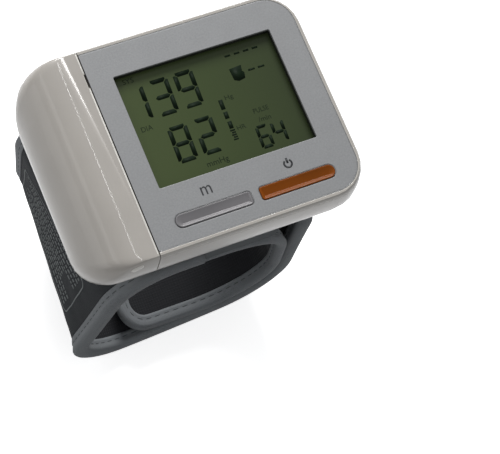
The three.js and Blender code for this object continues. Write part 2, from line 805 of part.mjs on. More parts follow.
// Seat between the housing and the cuff. Two pegs stand in the tub's floor, and a thin wing
// between the edge tapes holds the outer fabric to the underside.
function cuffSeat() {
  const near = strapTopY + seatMargin;
  const far = strapTopY + strapWidth - seatMargin;
  const section = new THREE.Shape();
  section.moveTo(near, cuffDrop - seatThickness);
  section.lineTo(far, cuffDrop - seatThickness);
  section.lineTo(far - seatEdgeSlope, cuffDrop);
  section.lineTo(near + seatEdgeSlope, cuffDrop);
  const bar = new THREE.ExtrudeGeometry(section, { depth: seatEnd - thickStart, bevelEnabled: false });
  bar.rotateY(Math.PI / 2);
  bar.rotateX(Math.PI / 2);
  bar.translate(thickStart, 0, 0);
  const wing = block(shoulderStart + gap, thickStart + overrun, strapTopY + bindingReach + 2 * gap,
    strapTopY + strapWidth - bindingReach - 2 * gap, strapTopZ + strapLayers / 2, cuffDrop);
  const pegs = [-1, 1].map((side) => rod(seatPegX, side * seatPegY, cuffDrop - seatThickness / 2,
    cuffDrop + seatPegLength, seatPegRadius));
  return cut(joined(toSolid(bar), wing, ...pegs), portHole());
}

// The hole that every piece between the air block and the bladder has for the air port
function portHole() {
  return rod(manifoldX, 0, strapTopZ, floorTop + overrun, portRadius + gap);
}

// Display: black bezel under the panel, glass, reflector, holder and connector strip

const glassBottom = plateBottom - glassThickness;
const shelfTop = glassBottom - reflectorThickness;
const shelfBottom = shelfTop - holderWall;
const connectorY = windowY + windowHeight / 2 + glassBorder - connectorInset - connectorWidth / 2;

function displayBezel() {
  const ring = slab(windowOutline(bezelWall), plateBottom, panelBottom);
  return cut(ring, slab(windowOutline(0), plateBottom - overrun, panelBottom + overrun));
}

function displayHolder() {
  const frame = slab(windowOutline(glassBorder + gap + holderWall), boardTop, plateBottom);
  const inside = windowOutline(glassBorder + gap);
  const connectorSlot = block(windowX - windowWidth / 2 - gap, windowX + windowWidth / 2 + gap,
    connectorY - connectorWidth / 2 - gap, connectorY + connectorWidth / 2 + gap, boardTop, topZ);
  return cut(frame, slab(inside, shelfTop, topZ), slab(inside, boardTop - overrun, shelfBottom), connectorSlot);
}

// Buttons

function button(centre) {
  const stemBottom = boardTop + switchHeight + plungerRise + gap + buttonTravel;
  const flangeTop = plateBottom;
  const shoulder = panelTop + buttonProud - buttonBevel;
  const cap = slab(buttonOutline(centre, 0), flangeTop - buttonFlangeThickness, shoulder, buttonSteps);
  const top = skinned([
    outlineRing(buttonOutline(centre, 0), shoulder),
    outlineRing(buttonOutline(centre, -buttonBevel), panelTop + buttonProud),
  ]);
  const flange = slab(buttonOutline(centre, buttonFlange), flangeTop - buttonFlangeThickness, flangeTop, buttonSteps);
  const stem = rod(centre, buttonY, stemBottom, flangeTop, buttonStemRadius);
  return joined(cap, toSolid(top), flange, stem);
}

function outlineRing(shape, z) {
  return shape.extractPoints(buttonSteps).shape.map((p) => [p.x, p.y, z]);
}

// Circuit board

function board() {
  const outline = roundedOutline(seamX + boardLeftGap, bodyLength / 2 - boardEndGap,
    boardSideGap - bodyWidth / 2, bodyWidth / 2 - boardSideGap, windowCornerRadius, boardCornerRadius);
  const holes = posts.map(([x, y]) => rod(x, y, boardBottom - overrun, boardTop + overrun, postBore));
  return cut(slab(outline, boardBottom, boardTop), ...holes);
}

function tactSwitch(x) {
  const half = switchSize / 2;
  const base = block(x - half, x + half, buttonY - half, buttonY + half, boardTop, boardTop + switchHeight);
  const plunger = rod(x, buttonY, boardTop + switchHeight / 2, boardTop + switchHeight + plungerRise,
    plungerRadius, 16);
  return joined(base, plunger);
}

function pressureSensor() {
  const half = sensorSize / 2;
  const low = boardBottom - sensorHeight;
  const can = block(manifoldX - half, manifoldX + half, -half, half, low, boardBottom);
  return joined(can, rod(manifoldX, 0, low - nozzleLength, low + overrun, nozzleRadius, 12));
}

// A bar or nozzle that lies along the length
function lyingRod(x0, x1, y, z, radius, sides = 20) {
  const geometry = new THREE.CylinderGeometry(radius, radius, x1 - x0, sides);
  geometry.rotateZ(Math.PI / 2);
  geometry.translate((x0 + x1) / 2, y, z);
  return toSolid(geometry);
}

function crossRod(x, y0, y1, z, radius, sides = 12) {
  const geometry = new THREE.CylinderGeometry(radius, radius, y1 - y0, sides);
  geometry.translate(x, (y0 + y1) / 2, z);
  return toSolid(geometry);
}

// Pump, valve and the block that joins their air

const motorZ = floorTop + gap + motorRadius;
const headZ = floorTop + pumpHeadSize / 2;
const valveZ = floorTop + gap + valveRadius;
const manifoldTop = floorTop + manifoldHeight;
const sideNozzleZ = floorTop + manifoldHeight / 2;

function pumpHead() {
  const half = pumpHeadSize / 2;
  const head = block(pumpX, pumpX + pumpHeadLength, pumpY - half, pumpY + half, floorTop, headZ + half);
  return joined(head, lyingRod(pumpX - nozzleLength, pumpX + overrun, pumpY, headZ, nozzleRadius, 12));
}

function valve() {
  const can = lyingRod(valveX, valveX + valveLength, valveY, valveZ, valveRadius);
  const halfFoot = valveRadius * valveFootShare;
  const foot = block(valveX, valveX + valveLength, valveY - halfFoot, valveY + halfFoot, floorTop, valveZ);
  const nozzle = lyingRod(valveX - nozzleLength, valveX + overrun, valveY, valveZ, nozzleRadius, 12);
  return joined(can, foot, nozzle);
}

function manifold() {
  const halfLength = manifoldLength / 2;
  const halfWidth = manifoldWidth / 2;
  const reach = halfWidth + nozzleLength;
  return joined(
    block(manifoldX - halfLength, manifoldX + halfLength, -halfWidth, halfWidth, floorTop, manifoldTop),
    crossRod(manifoldX, -reach, reach, sideNozzleZ, nozzleRadius),
    rod(manifoldX, 0, sideNozzleZ, manifoldTop + nozzleLength, nozzleRadius, 12),
    rod(manifoldX, 0, strapTopZ + bladderHigh, sideNozzleZ, portRadius, 16),
  );
}

// A soft tube along a smooth curve, with its two ends bored to go over nozzles
function airTube(points, ...bores) {
  const path = new THREE.CatmullRomCurve3(points.map((p) => new THREE.Vector3(...p)));
  const section = new THREE.Shape();
  for (let i = 0; i < tubeSides; i++) {
    const angle = 2 * Math.PI * i / tubeSides;
    const method = i === 0 ? 'moveTo' : 'lineTo';
    section[method](tubeRadius * Math.cos(angle), tubeRadius * Math.sin(angle));
  }
  const tube = new THREE.ExtrudeGeometry(section, { extrudePath: path, steps: tubeSteps, bevelEnabled: false });
  return cut(toSolid(tube), ...bores);
}

const boreRadius = nozzleRadius + gap;
const boreLength = nozzleLength + gap;
const bendRadius = 2 * tubeRadius;

function pumpTube() {
  const startX = pumpX - boreLength;
  const endY = manifoldWidth / 2 + boreLength;
  return airTube([
    [pumpX, pumpY, headZ],
    [startX, pumpY, headZ],
    [(startX + manifoldX) / 2 - tubeRadius / 4, pumpY - tubeRadius / 4, headZ - tubeRadius / 4],
    [manifoldX, (pumpY + endY) / 2, (headZ + sideNozzleZ) / 2],
    [manifoldX, endY, sideNozzleZ],
    [manifoldX, manifoldWidth / 2, sideNozzleZ],
  ], lyingRod(startX, pumpX + overrun, pumpY, headZ, boreRadius, 12),
  crossRod(manifoldX, manifoldWidth / 2 - overrun, endY, sideNozzleZ, boreRadius));
}

function valveTube() {
  const startX = valveX - boreLength;
  const endY = -manifoldWidth / 2 - boreLength;
  return airTube([
    [valveX, valveY, valveZ],
    [startX, valveY, valveZ],
    [(startX + manifoldX) / 2, valveY, (valveZ + sideNozzleZ) / 2],
    [manifoldX + tubeRadius / 2, valveY + bendRadius / 2, sideNozzleZ],
    [manifoldX, endY, sideNozzleZ],
    [manifoldX, -manifoldWidth / 2, sideNozzleZ],
  ], lyingRod(startX, valveX + overrun, valveY, valveZ, boreRadius, 12),
  crossRod(manifoldX, endY, overrun - manifoldWidth / 2, sideNozzleZ, boreRadius));
}

function sensorTube() {
  const top = boardBottom - sensorHeight;
  return cut(rod(manifoldX, 0, manifoldTop, top, tubeRadius, 16),
    rod(manifoldX, 0, manifoldTop - overrun, top + overrun, boreRadius, 12));
}

// Batteries and their contacts. The lower battery's raised pole is at the far end.

function battery(towards) {
  const half = (batteryLength + batteryNubLength) / 2;
  const geometry = turned([
    [0, -half], [batteryRadius, -half], [batteryRadius, half - batteryNubLength],
    [batteryNubRadius, half - batteryNubLength], [batteryNubRadius, half], [0, half],
  ]);
  geometry.rotateX(-towards * Math.PI / 2);
  return geometry;
}

const batteryShift = springLength / 2;

function contactPlate(side) {
  const ends = [side * contactFace, side * bayInnerY].sort((a, b) => a - b);
  const half = contactSize / 2;
  return (z0, z1) => block(batteryX - half, batteryX + half, ends[0], ends[1], z0 - half, z1 + half);
}

// A battery spring: one wire in a helix, which presses on the battery's flat end
function batterySpring(side, z) {
  const start = contactFace - gap - springWire;
  const run = springLength - 2 * (gap + springWire);
  const total = springTurns * springSteps;
  const rings = [];
  for (let i = 0; i <= total; i++) {
    const angle = 2 * Math.PI * i / springSteps;
    const y = side * (start - run * i / total);
    const ring = [];
    for (let k = 0; k < springSides; k++) {
      const turn = 2 * Math.PI * k / springSides;
      const radius = springRadius + springWire * Math.cos(turn);
      ring.push([
        batteryX + radius * Math.cos(angle),
        y + springWire * Math.sin(turn),
        z + radius * Math.sin(angle),
      ]);
    }
    rings.push(ring);
  }
  console.log(`battery spring ${side}: least gap to itself ${leastSelfGap(rings).toFixed(2)} mm`);
  return skinned(rings);
}

// The least distance between points of a wound wire that lie at least half a turn apart
function leastSelfGap(rings) {
  let least = Infinity;
  for (let i = 0; i < rings.length; i++) {
    for (let j = i + springSteps / 2; j < rings.length; j++) {
      for (const a of rings[i]) {
        for (const b of rings[j]) least = Math.min(least, Math.hypot(a[0] - b[0], a[1] - b[1], a[2] - b[2]));
      }
    }
  }
  return least;
}

// Screws

function screw() {
  return turned([
    [0, 0], [screwHeadRadius, 0], [screwHeadRadius, screwHeadHeight],
    [screwShankRadius, screwHeadHeight], [screwShankRadius, screwLength], [0, screwLength],
  ], screwSides);
}

// The assembly

const finishes = {
  ivory: { color: 0xb9b5ab, roughness: 0.25, metalness: 0 },
  silver: { color: 0x919394, roughness: 0.45, metalness: 0.2 },
  black: { color: 0x191b1a, roughness: 0.6, metalness: 0 },
  glass: { color: 0x4a5534, roughness: 0.1, metalness: 0 },
  white: { color: 0xd8d8d2, roughness: 0.6, metalness: 0 },
  grey: { color: 0x9a9b9d, roughness: 0.4, metalness: 0.1 },
  orange: { color: 0xa8500e, roughness: 0.3, metalness: 0 },
  green: { color: 0x1d5a38, roughness: 0.5, metalness: 0 },
  steel: { color: 0xb0b2b4, roughness: 0.3, metalness: 1 },
  wrap: { color: 0x2f4a6a, roughness: 0.35, metalness: 0 },
  rubber: { color: 0x8d8f88, roughness: 0.7, metalness: 0 },
  charcoal: { color: 0x2b2d2f, roughness: 0.9, metalness: 0 },
  lining: { color: 0x1a1b1c, roughness: 0.9, metalness: 0 },
  binding: { color: 0x5d6062, roughness: 0.85, metalness: 0 },
};

const monitor = new THREE.Group();

function add(name, shape, finish, parent = monitor) {
  const geometry = shape.isBufferGeometry ? shape : toGeometry(shape);
  const mesh = new THREE.Mesh(geometry, new THREE.MeshStandardMaterial(finishes[finish]));
  mesh.name = name;
  parent.add(mesh);
  return mesh;
}

add('lower_case', lowerCase(), 'ivory');
add('upper_case', upperCase(), 'ivory');
add('battery_cover', batteryCover(), 'ivory');
add('face_panel', facePanel(), 'silver');
add('display_bezel', displayBezel(), 'black');
add('display_glass', slab(windowOutline(glassBorder), glassBottom, plateBottom), 'glass');
add('display_reflector', slab(windowOutline(glassBorder - connectorInset - connectorWidth - gap),
  shelfTop, glassBottom), 'steel');
add('display_holder', displayHolder(), 'white');
add('display_connector', block(windowX - windowWidth / 2, windowX + windowWidth / 2,
  connectorY - connectorWidth / 2, connectorY + connectorWidth / 2, boardTop, glassBottom), 'rubber');
add('memory_button', button(buttonCentres.memory), 'grey');
add('power_button', button(buttonCentres.power), 'orange');
add('circuit_board', board(), 'green');
add('memory_switch', tactSwitch(buttonCentres.memory), 'steel');
add('power_switch', tactSwitch(buttonCentres.power), 'steel');
add('processor_chip', block(chipX - chipLength / 2, chipX + chipLength / 2, chipY - chipWidth / 2,
  chipY + chipWidth / 2, boardTop, boardTop + chipThickness), 'black');
add('pressure_sensor', pressureSensor(), 'black');
add('buzzer', rod(buzzerX, buzzerY, boardBottom - buzzerHeight, boardBottom, buzzerRadius), 'black');
add('pump_motor', lyingRod(pumpX + pumpHeadLength, pumpX + pumpHeadLength + motorLength,
  pumpY, motorZ, motorRadius), 'steel');
add('pump_head', pumpHead(), 'black');
add('exhaust_valve', valve(), 'steel');
add('air_manifold', manifold(), 'white');
add('pump_tube', pumpTube(), 'rubber');
add('valve_tube', valveTube(), 'rubber');
add('sensor_tube', sensorTube(), 'rubber');

batteryHeights.forEach((z, i) => {
  const towards = i === 0 ? 1 : -1;
  add(`battery_${i + 1}`, battery(towards), 'wrap').position.set(batteryX, towards * batteryShift, z);
  add(`battery_spring_${i + 1}`, batterySpring(-towards, z), 'steel');
});
add('bridge_contact', contactPlate(1)(batteryHeights[0], batteryHeights[1]), 'steel');
add('negative_contact', contactPlate(-1)(batteryHeights[0], batteryHeights[0]), 'steel');
add('positive_contact', contactPlate(-1)(batteryHeights[1], batteryHeights[1]), 'steel');

posts.forEach(([x, y], i) => {
  const seat = cuffDrop + screwWellDepth - screwHeadHeight;
  add(`case_screw_${i + 1}`, screw(), 'steel').position.set(x, y, seat);
});

add('cuff_seat', cuffSeat(), 'binding');

const rootEnd = rootStrap.length - gap / 2;
for (const [name, finish] of [['outer', 'charcoal'], ['bladder', 'rubber'], ['lining', 'lining']]) {
  const root = strapLayer(rootStrap, name === 'bladder' ? bladderStart : 0, rootEnd, name, 0);
  add(`cuff_root_${name}`, name === 'outer' ? cut(toSolid(root), portHole()) : root, finish);
  add(`cuff_flap_${name}`, strapLayer(flapStrap, gap / 2, flapStrap.length, name, flapCornerRadius), finish);
}
const slot = strapLayers + 2 * gap;
const rootNear = edgeRoute(rootStrap, 0, rootEnd, 0, 1);
const rootFar = edgeRoute(rootStrap, 0, rootEnd, strapWidth, -1);
const flapEdge = endRoute(flapStrap, gap / 2, flapStrap.length, flapCornerRadius);
add('cuff_root_near_binding', tape(rootStrap, rootNear, bindingReach, slot, bindingWall), 'binding');
add('cuff_root_far_binding', tape(rootStrap, rootFar, bindingReach, slot, bindingWall), 'binding');
add('cuff_flap_binding', tape(flapStrap, flapEdge, bindingReach, slot, bindingWall), 'binding');
const patchEnd = flapStrap.length - patchEndMargin;
add('cuff_hook_patch', layer(flapStrap, patchEnd - patchLength, patchEnd, patchMargin, strapWidth - patchMargin,
  -strapLayers / 2 - patchThickness, -strapLayers / 2), 'black');

const tailRootEnd = tailRootStrap.length - gap / 2;
for (const [name, finish] of [['outer', 'charcoal'], ['lining', 'lining']]) {
  add(`cuff_tail_root_${name}`, tailLayer(tailRootStrap, 0, tailRootEnd, name, 0), finish);
  add(`cuff_tail_${name}`, tailLayer(tailStrap, gap / 2, tailStrap.length, name, tailCornerRadius), finish);
}
const tailSlot = tailLayers + 2 * gap;
const tailRootNear = edgeRoute(tailRootStrap, 0, tailRootEnd, 0, 1);
const tailRootFar = edgeRoute(tailRootStrap, 0, tailRootEnd, tailWidth, -1);
const tailEdgeLine = endRoute(tailStrap, gap / 2, tailStrap.length, tailCornerRadius);
add('cuff_tail_root_near_binding', tape(tailRootStrap, tailRootNear, bindingReach, tailSlot, bindingWall), 'binding');
add('cuff_tail_root_far_binding', tape(tailRootStrap, tailRootFar, bindingReach, tailSlot, bindingWall), 'binding');
add('cuff_tail_binding', tape(tailStrap, tailEdgeLine, bindingReach, tailSlot, bindingWall), 'binding');

export default monitor;
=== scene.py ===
"""Looks of a wrist blood pressure monitor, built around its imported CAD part. Lengths are in metres."""
import json
import math

import bpy
from mathutils import Matrix, Vector, noise
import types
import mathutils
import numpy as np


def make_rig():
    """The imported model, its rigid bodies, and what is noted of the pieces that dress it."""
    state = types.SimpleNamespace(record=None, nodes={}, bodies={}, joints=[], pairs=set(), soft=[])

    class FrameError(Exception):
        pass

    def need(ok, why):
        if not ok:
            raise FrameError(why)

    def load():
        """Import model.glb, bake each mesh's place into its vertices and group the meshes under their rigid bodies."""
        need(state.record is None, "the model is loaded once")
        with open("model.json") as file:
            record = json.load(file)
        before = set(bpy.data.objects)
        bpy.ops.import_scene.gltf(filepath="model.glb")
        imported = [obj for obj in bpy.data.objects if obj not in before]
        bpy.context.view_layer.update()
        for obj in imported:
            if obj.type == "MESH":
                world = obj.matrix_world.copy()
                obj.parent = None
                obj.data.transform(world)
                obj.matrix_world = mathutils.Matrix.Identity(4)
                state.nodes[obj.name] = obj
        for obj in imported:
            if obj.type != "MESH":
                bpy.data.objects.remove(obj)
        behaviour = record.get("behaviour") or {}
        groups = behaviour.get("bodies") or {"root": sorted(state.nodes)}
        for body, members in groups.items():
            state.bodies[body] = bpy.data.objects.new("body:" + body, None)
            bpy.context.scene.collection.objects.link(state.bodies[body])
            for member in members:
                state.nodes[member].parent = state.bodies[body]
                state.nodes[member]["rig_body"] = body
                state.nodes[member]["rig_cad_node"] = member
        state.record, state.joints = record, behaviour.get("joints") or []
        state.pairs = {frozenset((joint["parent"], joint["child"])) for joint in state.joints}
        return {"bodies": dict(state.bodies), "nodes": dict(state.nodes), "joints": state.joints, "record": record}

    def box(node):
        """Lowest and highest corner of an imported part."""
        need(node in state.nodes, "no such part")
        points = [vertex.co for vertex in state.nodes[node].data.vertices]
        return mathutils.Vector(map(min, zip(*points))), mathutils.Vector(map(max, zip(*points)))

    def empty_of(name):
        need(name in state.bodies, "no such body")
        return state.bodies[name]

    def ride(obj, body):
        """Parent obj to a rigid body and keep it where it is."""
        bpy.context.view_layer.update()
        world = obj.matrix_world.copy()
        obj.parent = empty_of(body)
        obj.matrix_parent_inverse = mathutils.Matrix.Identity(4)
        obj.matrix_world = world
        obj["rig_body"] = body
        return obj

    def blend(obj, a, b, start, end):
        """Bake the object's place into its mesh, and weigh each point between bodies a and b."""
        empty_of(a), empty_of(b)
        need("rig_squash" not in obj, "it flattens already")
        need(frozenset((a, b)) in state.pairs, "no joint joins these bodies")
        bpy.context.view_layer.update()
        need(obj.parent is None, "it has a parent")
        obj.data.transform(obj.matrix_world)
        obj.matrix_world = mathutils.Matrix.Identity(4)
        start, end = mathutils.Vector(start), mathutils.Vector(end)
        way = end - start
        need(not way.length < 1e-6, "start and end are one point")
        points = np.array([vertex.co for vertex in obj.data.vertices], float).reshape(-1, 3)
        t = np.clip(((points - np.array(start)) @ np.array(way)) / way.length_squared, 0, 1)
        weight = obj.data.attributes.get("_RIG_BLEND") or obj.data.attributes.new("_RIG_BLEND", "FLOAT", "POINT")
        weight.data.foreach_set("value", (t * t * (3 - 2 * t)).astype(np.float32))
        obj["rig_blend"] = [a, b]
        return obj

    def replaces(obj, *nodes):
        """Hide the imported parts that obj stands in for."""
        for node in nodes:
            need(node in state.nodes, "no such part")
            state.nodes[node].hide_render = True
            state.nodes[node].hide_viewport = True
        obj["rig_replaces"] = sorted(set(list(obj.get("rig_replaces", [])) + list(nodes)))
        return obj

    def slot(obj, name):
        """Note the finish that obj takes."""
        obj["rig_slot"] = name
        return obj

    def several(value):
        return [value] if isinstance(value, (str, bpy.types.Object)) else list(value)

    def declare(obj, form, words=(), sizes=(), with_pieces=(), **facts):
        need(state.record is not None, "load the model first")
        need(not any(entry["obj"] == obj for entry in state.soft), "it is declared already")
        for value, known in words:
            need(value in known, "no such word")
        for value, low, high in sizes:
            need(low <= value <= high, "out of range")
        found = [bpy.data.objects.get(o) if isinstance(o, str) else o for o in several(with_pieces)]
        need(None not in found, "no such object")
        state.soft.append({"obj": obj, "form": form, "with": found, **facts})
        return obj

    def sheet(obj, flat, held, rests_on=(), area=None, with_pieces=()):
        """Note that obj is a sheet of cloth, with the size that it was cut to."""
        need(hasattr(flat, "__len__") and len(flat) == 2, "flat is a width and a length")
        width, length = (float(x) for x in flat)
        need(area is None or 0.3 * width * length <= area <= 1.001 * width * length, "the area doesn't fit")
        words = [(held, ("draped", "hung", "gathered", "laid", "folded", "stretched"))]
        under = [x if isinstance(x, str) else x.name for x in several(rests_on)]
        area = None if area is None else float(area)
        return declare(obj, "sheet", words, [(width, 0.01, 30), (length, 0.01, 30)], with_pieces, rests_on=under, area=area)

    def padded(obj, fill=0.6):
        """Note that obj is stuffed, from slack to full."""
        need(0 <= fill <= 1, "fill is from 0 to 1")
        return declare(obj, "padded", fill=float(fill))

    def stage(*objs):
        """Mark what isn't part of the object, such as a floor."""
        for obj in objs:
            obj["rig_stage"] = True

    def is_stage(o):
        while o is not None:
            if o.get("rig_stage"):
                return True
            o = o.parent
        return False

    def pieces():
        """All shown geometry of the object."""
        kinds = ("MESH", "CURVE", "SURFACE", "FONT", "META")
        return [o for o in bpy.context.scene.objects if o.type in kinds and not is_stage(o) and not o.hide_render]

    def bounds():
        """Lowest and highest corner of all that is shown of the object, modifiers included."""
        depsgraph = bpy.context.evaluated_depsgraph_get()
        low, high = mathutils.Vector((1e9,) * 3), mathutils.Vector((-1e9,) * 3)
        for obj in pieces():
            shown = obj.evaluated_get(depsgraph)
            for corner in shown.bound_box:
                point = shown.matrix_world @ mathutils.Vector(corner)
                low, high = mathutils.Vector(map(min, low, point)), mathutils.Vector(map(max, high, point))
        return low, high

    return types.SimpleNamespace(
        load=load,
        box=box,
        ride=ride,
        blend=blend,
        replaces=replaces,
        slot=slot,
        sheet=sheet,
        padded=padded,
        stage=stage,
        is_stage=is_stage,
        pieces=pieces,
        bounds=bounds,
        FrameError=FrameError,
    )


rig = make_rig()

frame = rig.load()
cad_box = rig.bounds()
nodes = frame["nodes"]

MM = 0.001


# Colours and node materials

# Sockets of a colour Mix node
MIX_SHARE, MIX_FIRST, MIX_SECOND, MIX_RESULT = 0, 6, 7, 2


def srgb(red, green, blue):
    """A linear colour from the 0 to 255 values that a screen shows."""
    def linear(value):
        share = value / 255
        return share / 12.92 if share <= 0.04045 else ((share + 0.055) / 1.055) ** 2.4
    return (linear(red), linear(green), linear(blue), 1)


class Finish:
    """A node material. Its methods add one feature each to the Principled shader."""

    def __init__(self, name, colour, roughness, **sockets):
        self.material = bpy.data.materials.new(name)
        self.material.use_nodes = True
        self.tree = self.material.node_tree
        self.shader = self.tree.nodes["Principled BSDF"]
        self.normal = None
        self.feed(self.shader, {"Base Color": srgb(*colour), "Roughness": roughness})
        self.feed(self.shader, {socket.replace("_", " "): value for socket, value in sockets.items()})

    def feed(self, node, inputs):
        """Links outputs to a node's sockets, or sets plain values there."""
        for socket, source in inputs.items():
            if isinstance(source, bpy.types.NodeSocket):
                self.tree.links.new(source, node.inputs[socket])
            else:
                node.inputs[socket].default_value = source

    def node(self, kind, inputs=None, **settings):
        made = self.tree.nodes.new("ShaderNode" + kind)
        for key, value in settings.items():
            setattr(made, key, value)
        self.feed(made, inputs or {})
        return made

    def place(self, stretch=(1, 1, 1), source="Object"):
        """Coordinates in metres, stretched along each axis."""
        where = self.node("TexCoord").outputs[source]
        return self.node("Mapping", {"Vector": where, "Scale": stretch}).outputs["Vector"]

    def along(self, axis, source="Object"):
        return self.node("SeparateXYZ", {"Vector": self.place(source=source)}).outputs[axis]

    def speckle(self, size, detail=2, stretch=(1, 1, 1)):
        """Smooth noise whose grains are about size across."""
        inputs = {"Vector": self.place(stretch), "Scale": 1 / size, "Detail": detail}
        return self.node("TexNoise", inputs).outputs["Fac"]

    def cells(self, size, source="Object"):
        """Round cells, dark in the middle."""
        inputs = {"Vector": self.place(source=source), "Scale": 1 / size}
        return self.node("TexVoronoi", inputs).outputs["Distance"]

    def bands(self, pitch, direction, source="UV"):
        """Waves with that pitch along one axis."""
        inputs = {"Vector": self.place(source=source), "Scale": math.pi / 10 / pitch}
        return self.node("TexWave", inputs, bands_direction=direction).outputs["Fac"]

    def combine(self, first, second, operation="MULTIPLY"):
        return self.node("Math", {0: first, 1: second}, operation=operation).outputs["Value"]

    def span(self, amount, start, end, low=0, high=1):
        """Turns the range from start to end into the range from low to high."""
        inputs = {"Value": amount, "From Min": start, "From Max": end, "To Min": low, "To Max": high}
        return self.node("MapRange", inputs).outputs["Result"]

    def mix(self, share, first, second):
        """A colour between two others."""
        inputs = {MIX_SHARE: share, MIX_FIRST: first, MIX_SECOND: second}
        return self.node("Mix", inputs, data_type="RGBA").outputs[MIX_RESULT]

    def ramp(self, amount, *stops):
        """A colour ramp of (position, screen colour) stops."""
        made = self.node("ValToRGB", {"Fac": amount})
        elements = made.color_ramp.elements
        while len(elements) < len(stops):
            elements.new(0.5)
        for element, (position, colour) in zip(elements, stops):
            element.position = position
            element.color = srgb(*colour)
        return made.outputs["Color"]

    def colour(self, output):
        self.feed(self.shader, {"Base Color": output})

    def rough(self, amount, low, high):
        self.feed(self.shader, {"Roughness": self.span(amount, 0, 1, low, high)})

    def bump(self, height, depth, strength=1.0):
        """Relief of that depth. Each call adds to the relief before it."""
        inputs = {"Height": height, "Strength": strength, "Distance": depth}
        if self.normal:
            inputs["Normal"] = self.normal
        self.normal = self.node("Bump", inputs).outputs["Normal"]
        self.feed(self.shader, {"Normal": self.normal})
        return self

    def bevel(self, radius):
        """The direction of a surface whose sharp edges are rounded."""
        return self.node("Bevel", {"Radius": radius}, samples=6).outputs["Normal"]

    def worn_edges(self, radius):
        """Rounds the look of sharp edges by that radius. It comes before bump."""
        self.normal = self.bevel(radius)
        self.feed(self.shader, {"Normal": self.normal, "Coat Normal": self.normal})
        return self

    def painted_edge_highlight(self, radius, colour):
        """Paints a highlight into the colour where a sharp edge is near: painted light along the edges. It comes after
        colour.
        """
        base = self.shader.inputs["Base Color"].links[0].from_socket
        flat = self.node("NewGeometry").outputs["Normal"]
        same = self.node("VectorMath", {0: self.bevel(radius), 1: flat}, operation="DOT_PRODUCT")
        near = self.span(same.outputs["Value"], 0.995, 0.95)
        self.colour(self.mix(near, base, srgb(*colour)))


def moulded(name, colour, roughness, shade=0.94, **sockets):
    """Moulded plastic: faint flow shading, uneven gloss and fine grain."""
    finish = Finish(name, colour, roughness, **sockets)
    dark = tuple(value * shade for value in colour)
    finish.colour(finish.ramp(finish.speckle(14 * MM, 3), (0.3, dark), (0.7, colour)))
    finish.rough(finish.speckle(5 * MM, 4), roughness * 0.8, roughness * 1.25)
    finish.worn_edges(0.22 * MM)
    return finish.bump(finish.speckle(0.35 * MM, 1), 0.006 * MM, 0.4)


def metal(name, colour, roughness, stretch=(1, 12, 1)):
    """Brushed or drawn metal with streaks and light stains."""
    finish = Finish(name, colour, roughness, Metallic=1.0)
    streaks = finish.speckle(0.8 * MM, 3, stretch)
    dark = tuple(value * 0.78 for value in colour)
    finish.colour(finish.ramp(finish.speckle(3 * MM, 4), (0.35, dark), (0.65, colour)))
    finish.rough(streaks, roughness * 0.7, roughness * 1.4)
    return finish.worn_edges(0.08 * MM).bump(streaks, 0.01 * MM, 0.5)


def woven(name, colour, light, pitch, depth, roughness, across=1.0, **sockets):
    """Woven cloth whose yarns follow the piece's own flat coordinates."""
    finish = Finish(name, colour, roughness, **sockets)
    yarns = finish.combine(finish.bands(pitch, "X"), finish.bands(pitch * across, "Y"))
    fuzz = finish.speckle(0.5 * MM, 4)
    tone = finish.combine(finish.combine(yarns, fuzz, "ADD"), finish.speckle(9 * MM, 3), "ADD")
    finish.colour(finish.ramp(tone, (0.45, colour), (1.0, light)))
    return finish.bump(yarns, depth).bump(fuzz, depth * 0.6, 0.6)


def inked(name, dark, light, cloud, roughness, **sockets):
    """Ink whose tone varies in small clouds."""
    finish = Finish(name, light, roughness, **sockets)
    finish.colour(finish.ramp(finish.speckle(cloud), (0.3, dark), (0.7, light)))
    return finish


def paint(finish, *names):
    """Gives CAD nodes their material."""
    for name in names:
        slots = nodes[name].data.materials
        slots.clear()
        slots.append(finish.material)


def smooth(angle, *names):
    """Shades CAD nodes smooth up to an angle, by a modifier that leaves their mesh alone."""
    group = bpy.data.node_groups.new(f"smooth_{angle}", "GeometryNodeTree")
    for direction in ("INPUT", "OUTPUT"):
        group.interface.new_socket("Geometry", in_out=direction, socket_type="NodeSocketGeometry")
    start, end, merge, faces, edges, turn, sharp = (group.nodes.new(kind) for kind in (
        "NodeGroupInput", "NodeGroupOutput", "GeometryNodeMergeByDistance", "GeometryNodeSetShadeSmooth",
        "GeometryNodeSetShadeSmooth", "GeometryNodeInputMeshEdgeAngle", "FunctionNodeCompare"))
    merge.inputs["Distance"].default_value = 0.002 * MM
    edges.domain = "EDGE"
    edges.inputs["Shade Smooth"].default_value = False
    sharp.inputs["B"].default_value = math.radians(angle)
    for output, socket in ((start.outputs[0], merge.inputs["Geometry"]),
                           (merge.outputs["Geometry"], faces.inputs["Geometry"]),
                           (faces.outputs["Geometry"], edges.inputs["Geometry"]),
                           (turn.outputs["Unsigned Angle"], sharp.inputs["A"]),
                           (sharp.outputs["Result"], edges.inputs["Selection"]),
                           (edges.outputs["Geometry"], end.inputs[0])):
        group.links.new(output, socket)
    for name in names:
        nodes[name].modifiers.new("smooth", "NODES").node_group = group


# Mesh pieces

def around(count):
    """Cosines and sines all round a circle."""
    turns = [2 * math.pi * i / count for i in range(count)]
    return [(math.cos(turn), math.sin(turn)) for turn in turns]


def outline(x0, x1, y0, y1, left, right, steps=8):
    """A rectangle whose two ends have their own corner radii, anticlockwise."""
    points = []
    for x, y, radius, turn in ((x1 - right, y0 + right, right, -1), (x1 - right, y1 - right, right, 0),
                               (x0 + left, y1 - left, left, 1), (x0 + left, y0 + left, left, 2)):
        for i in range(steps + 1):
            angle = (turn + i / steps) * math.pi / 2
            points.append((x + radius * math.cos(angle), y + radius * math.sin(angle)))
    return points


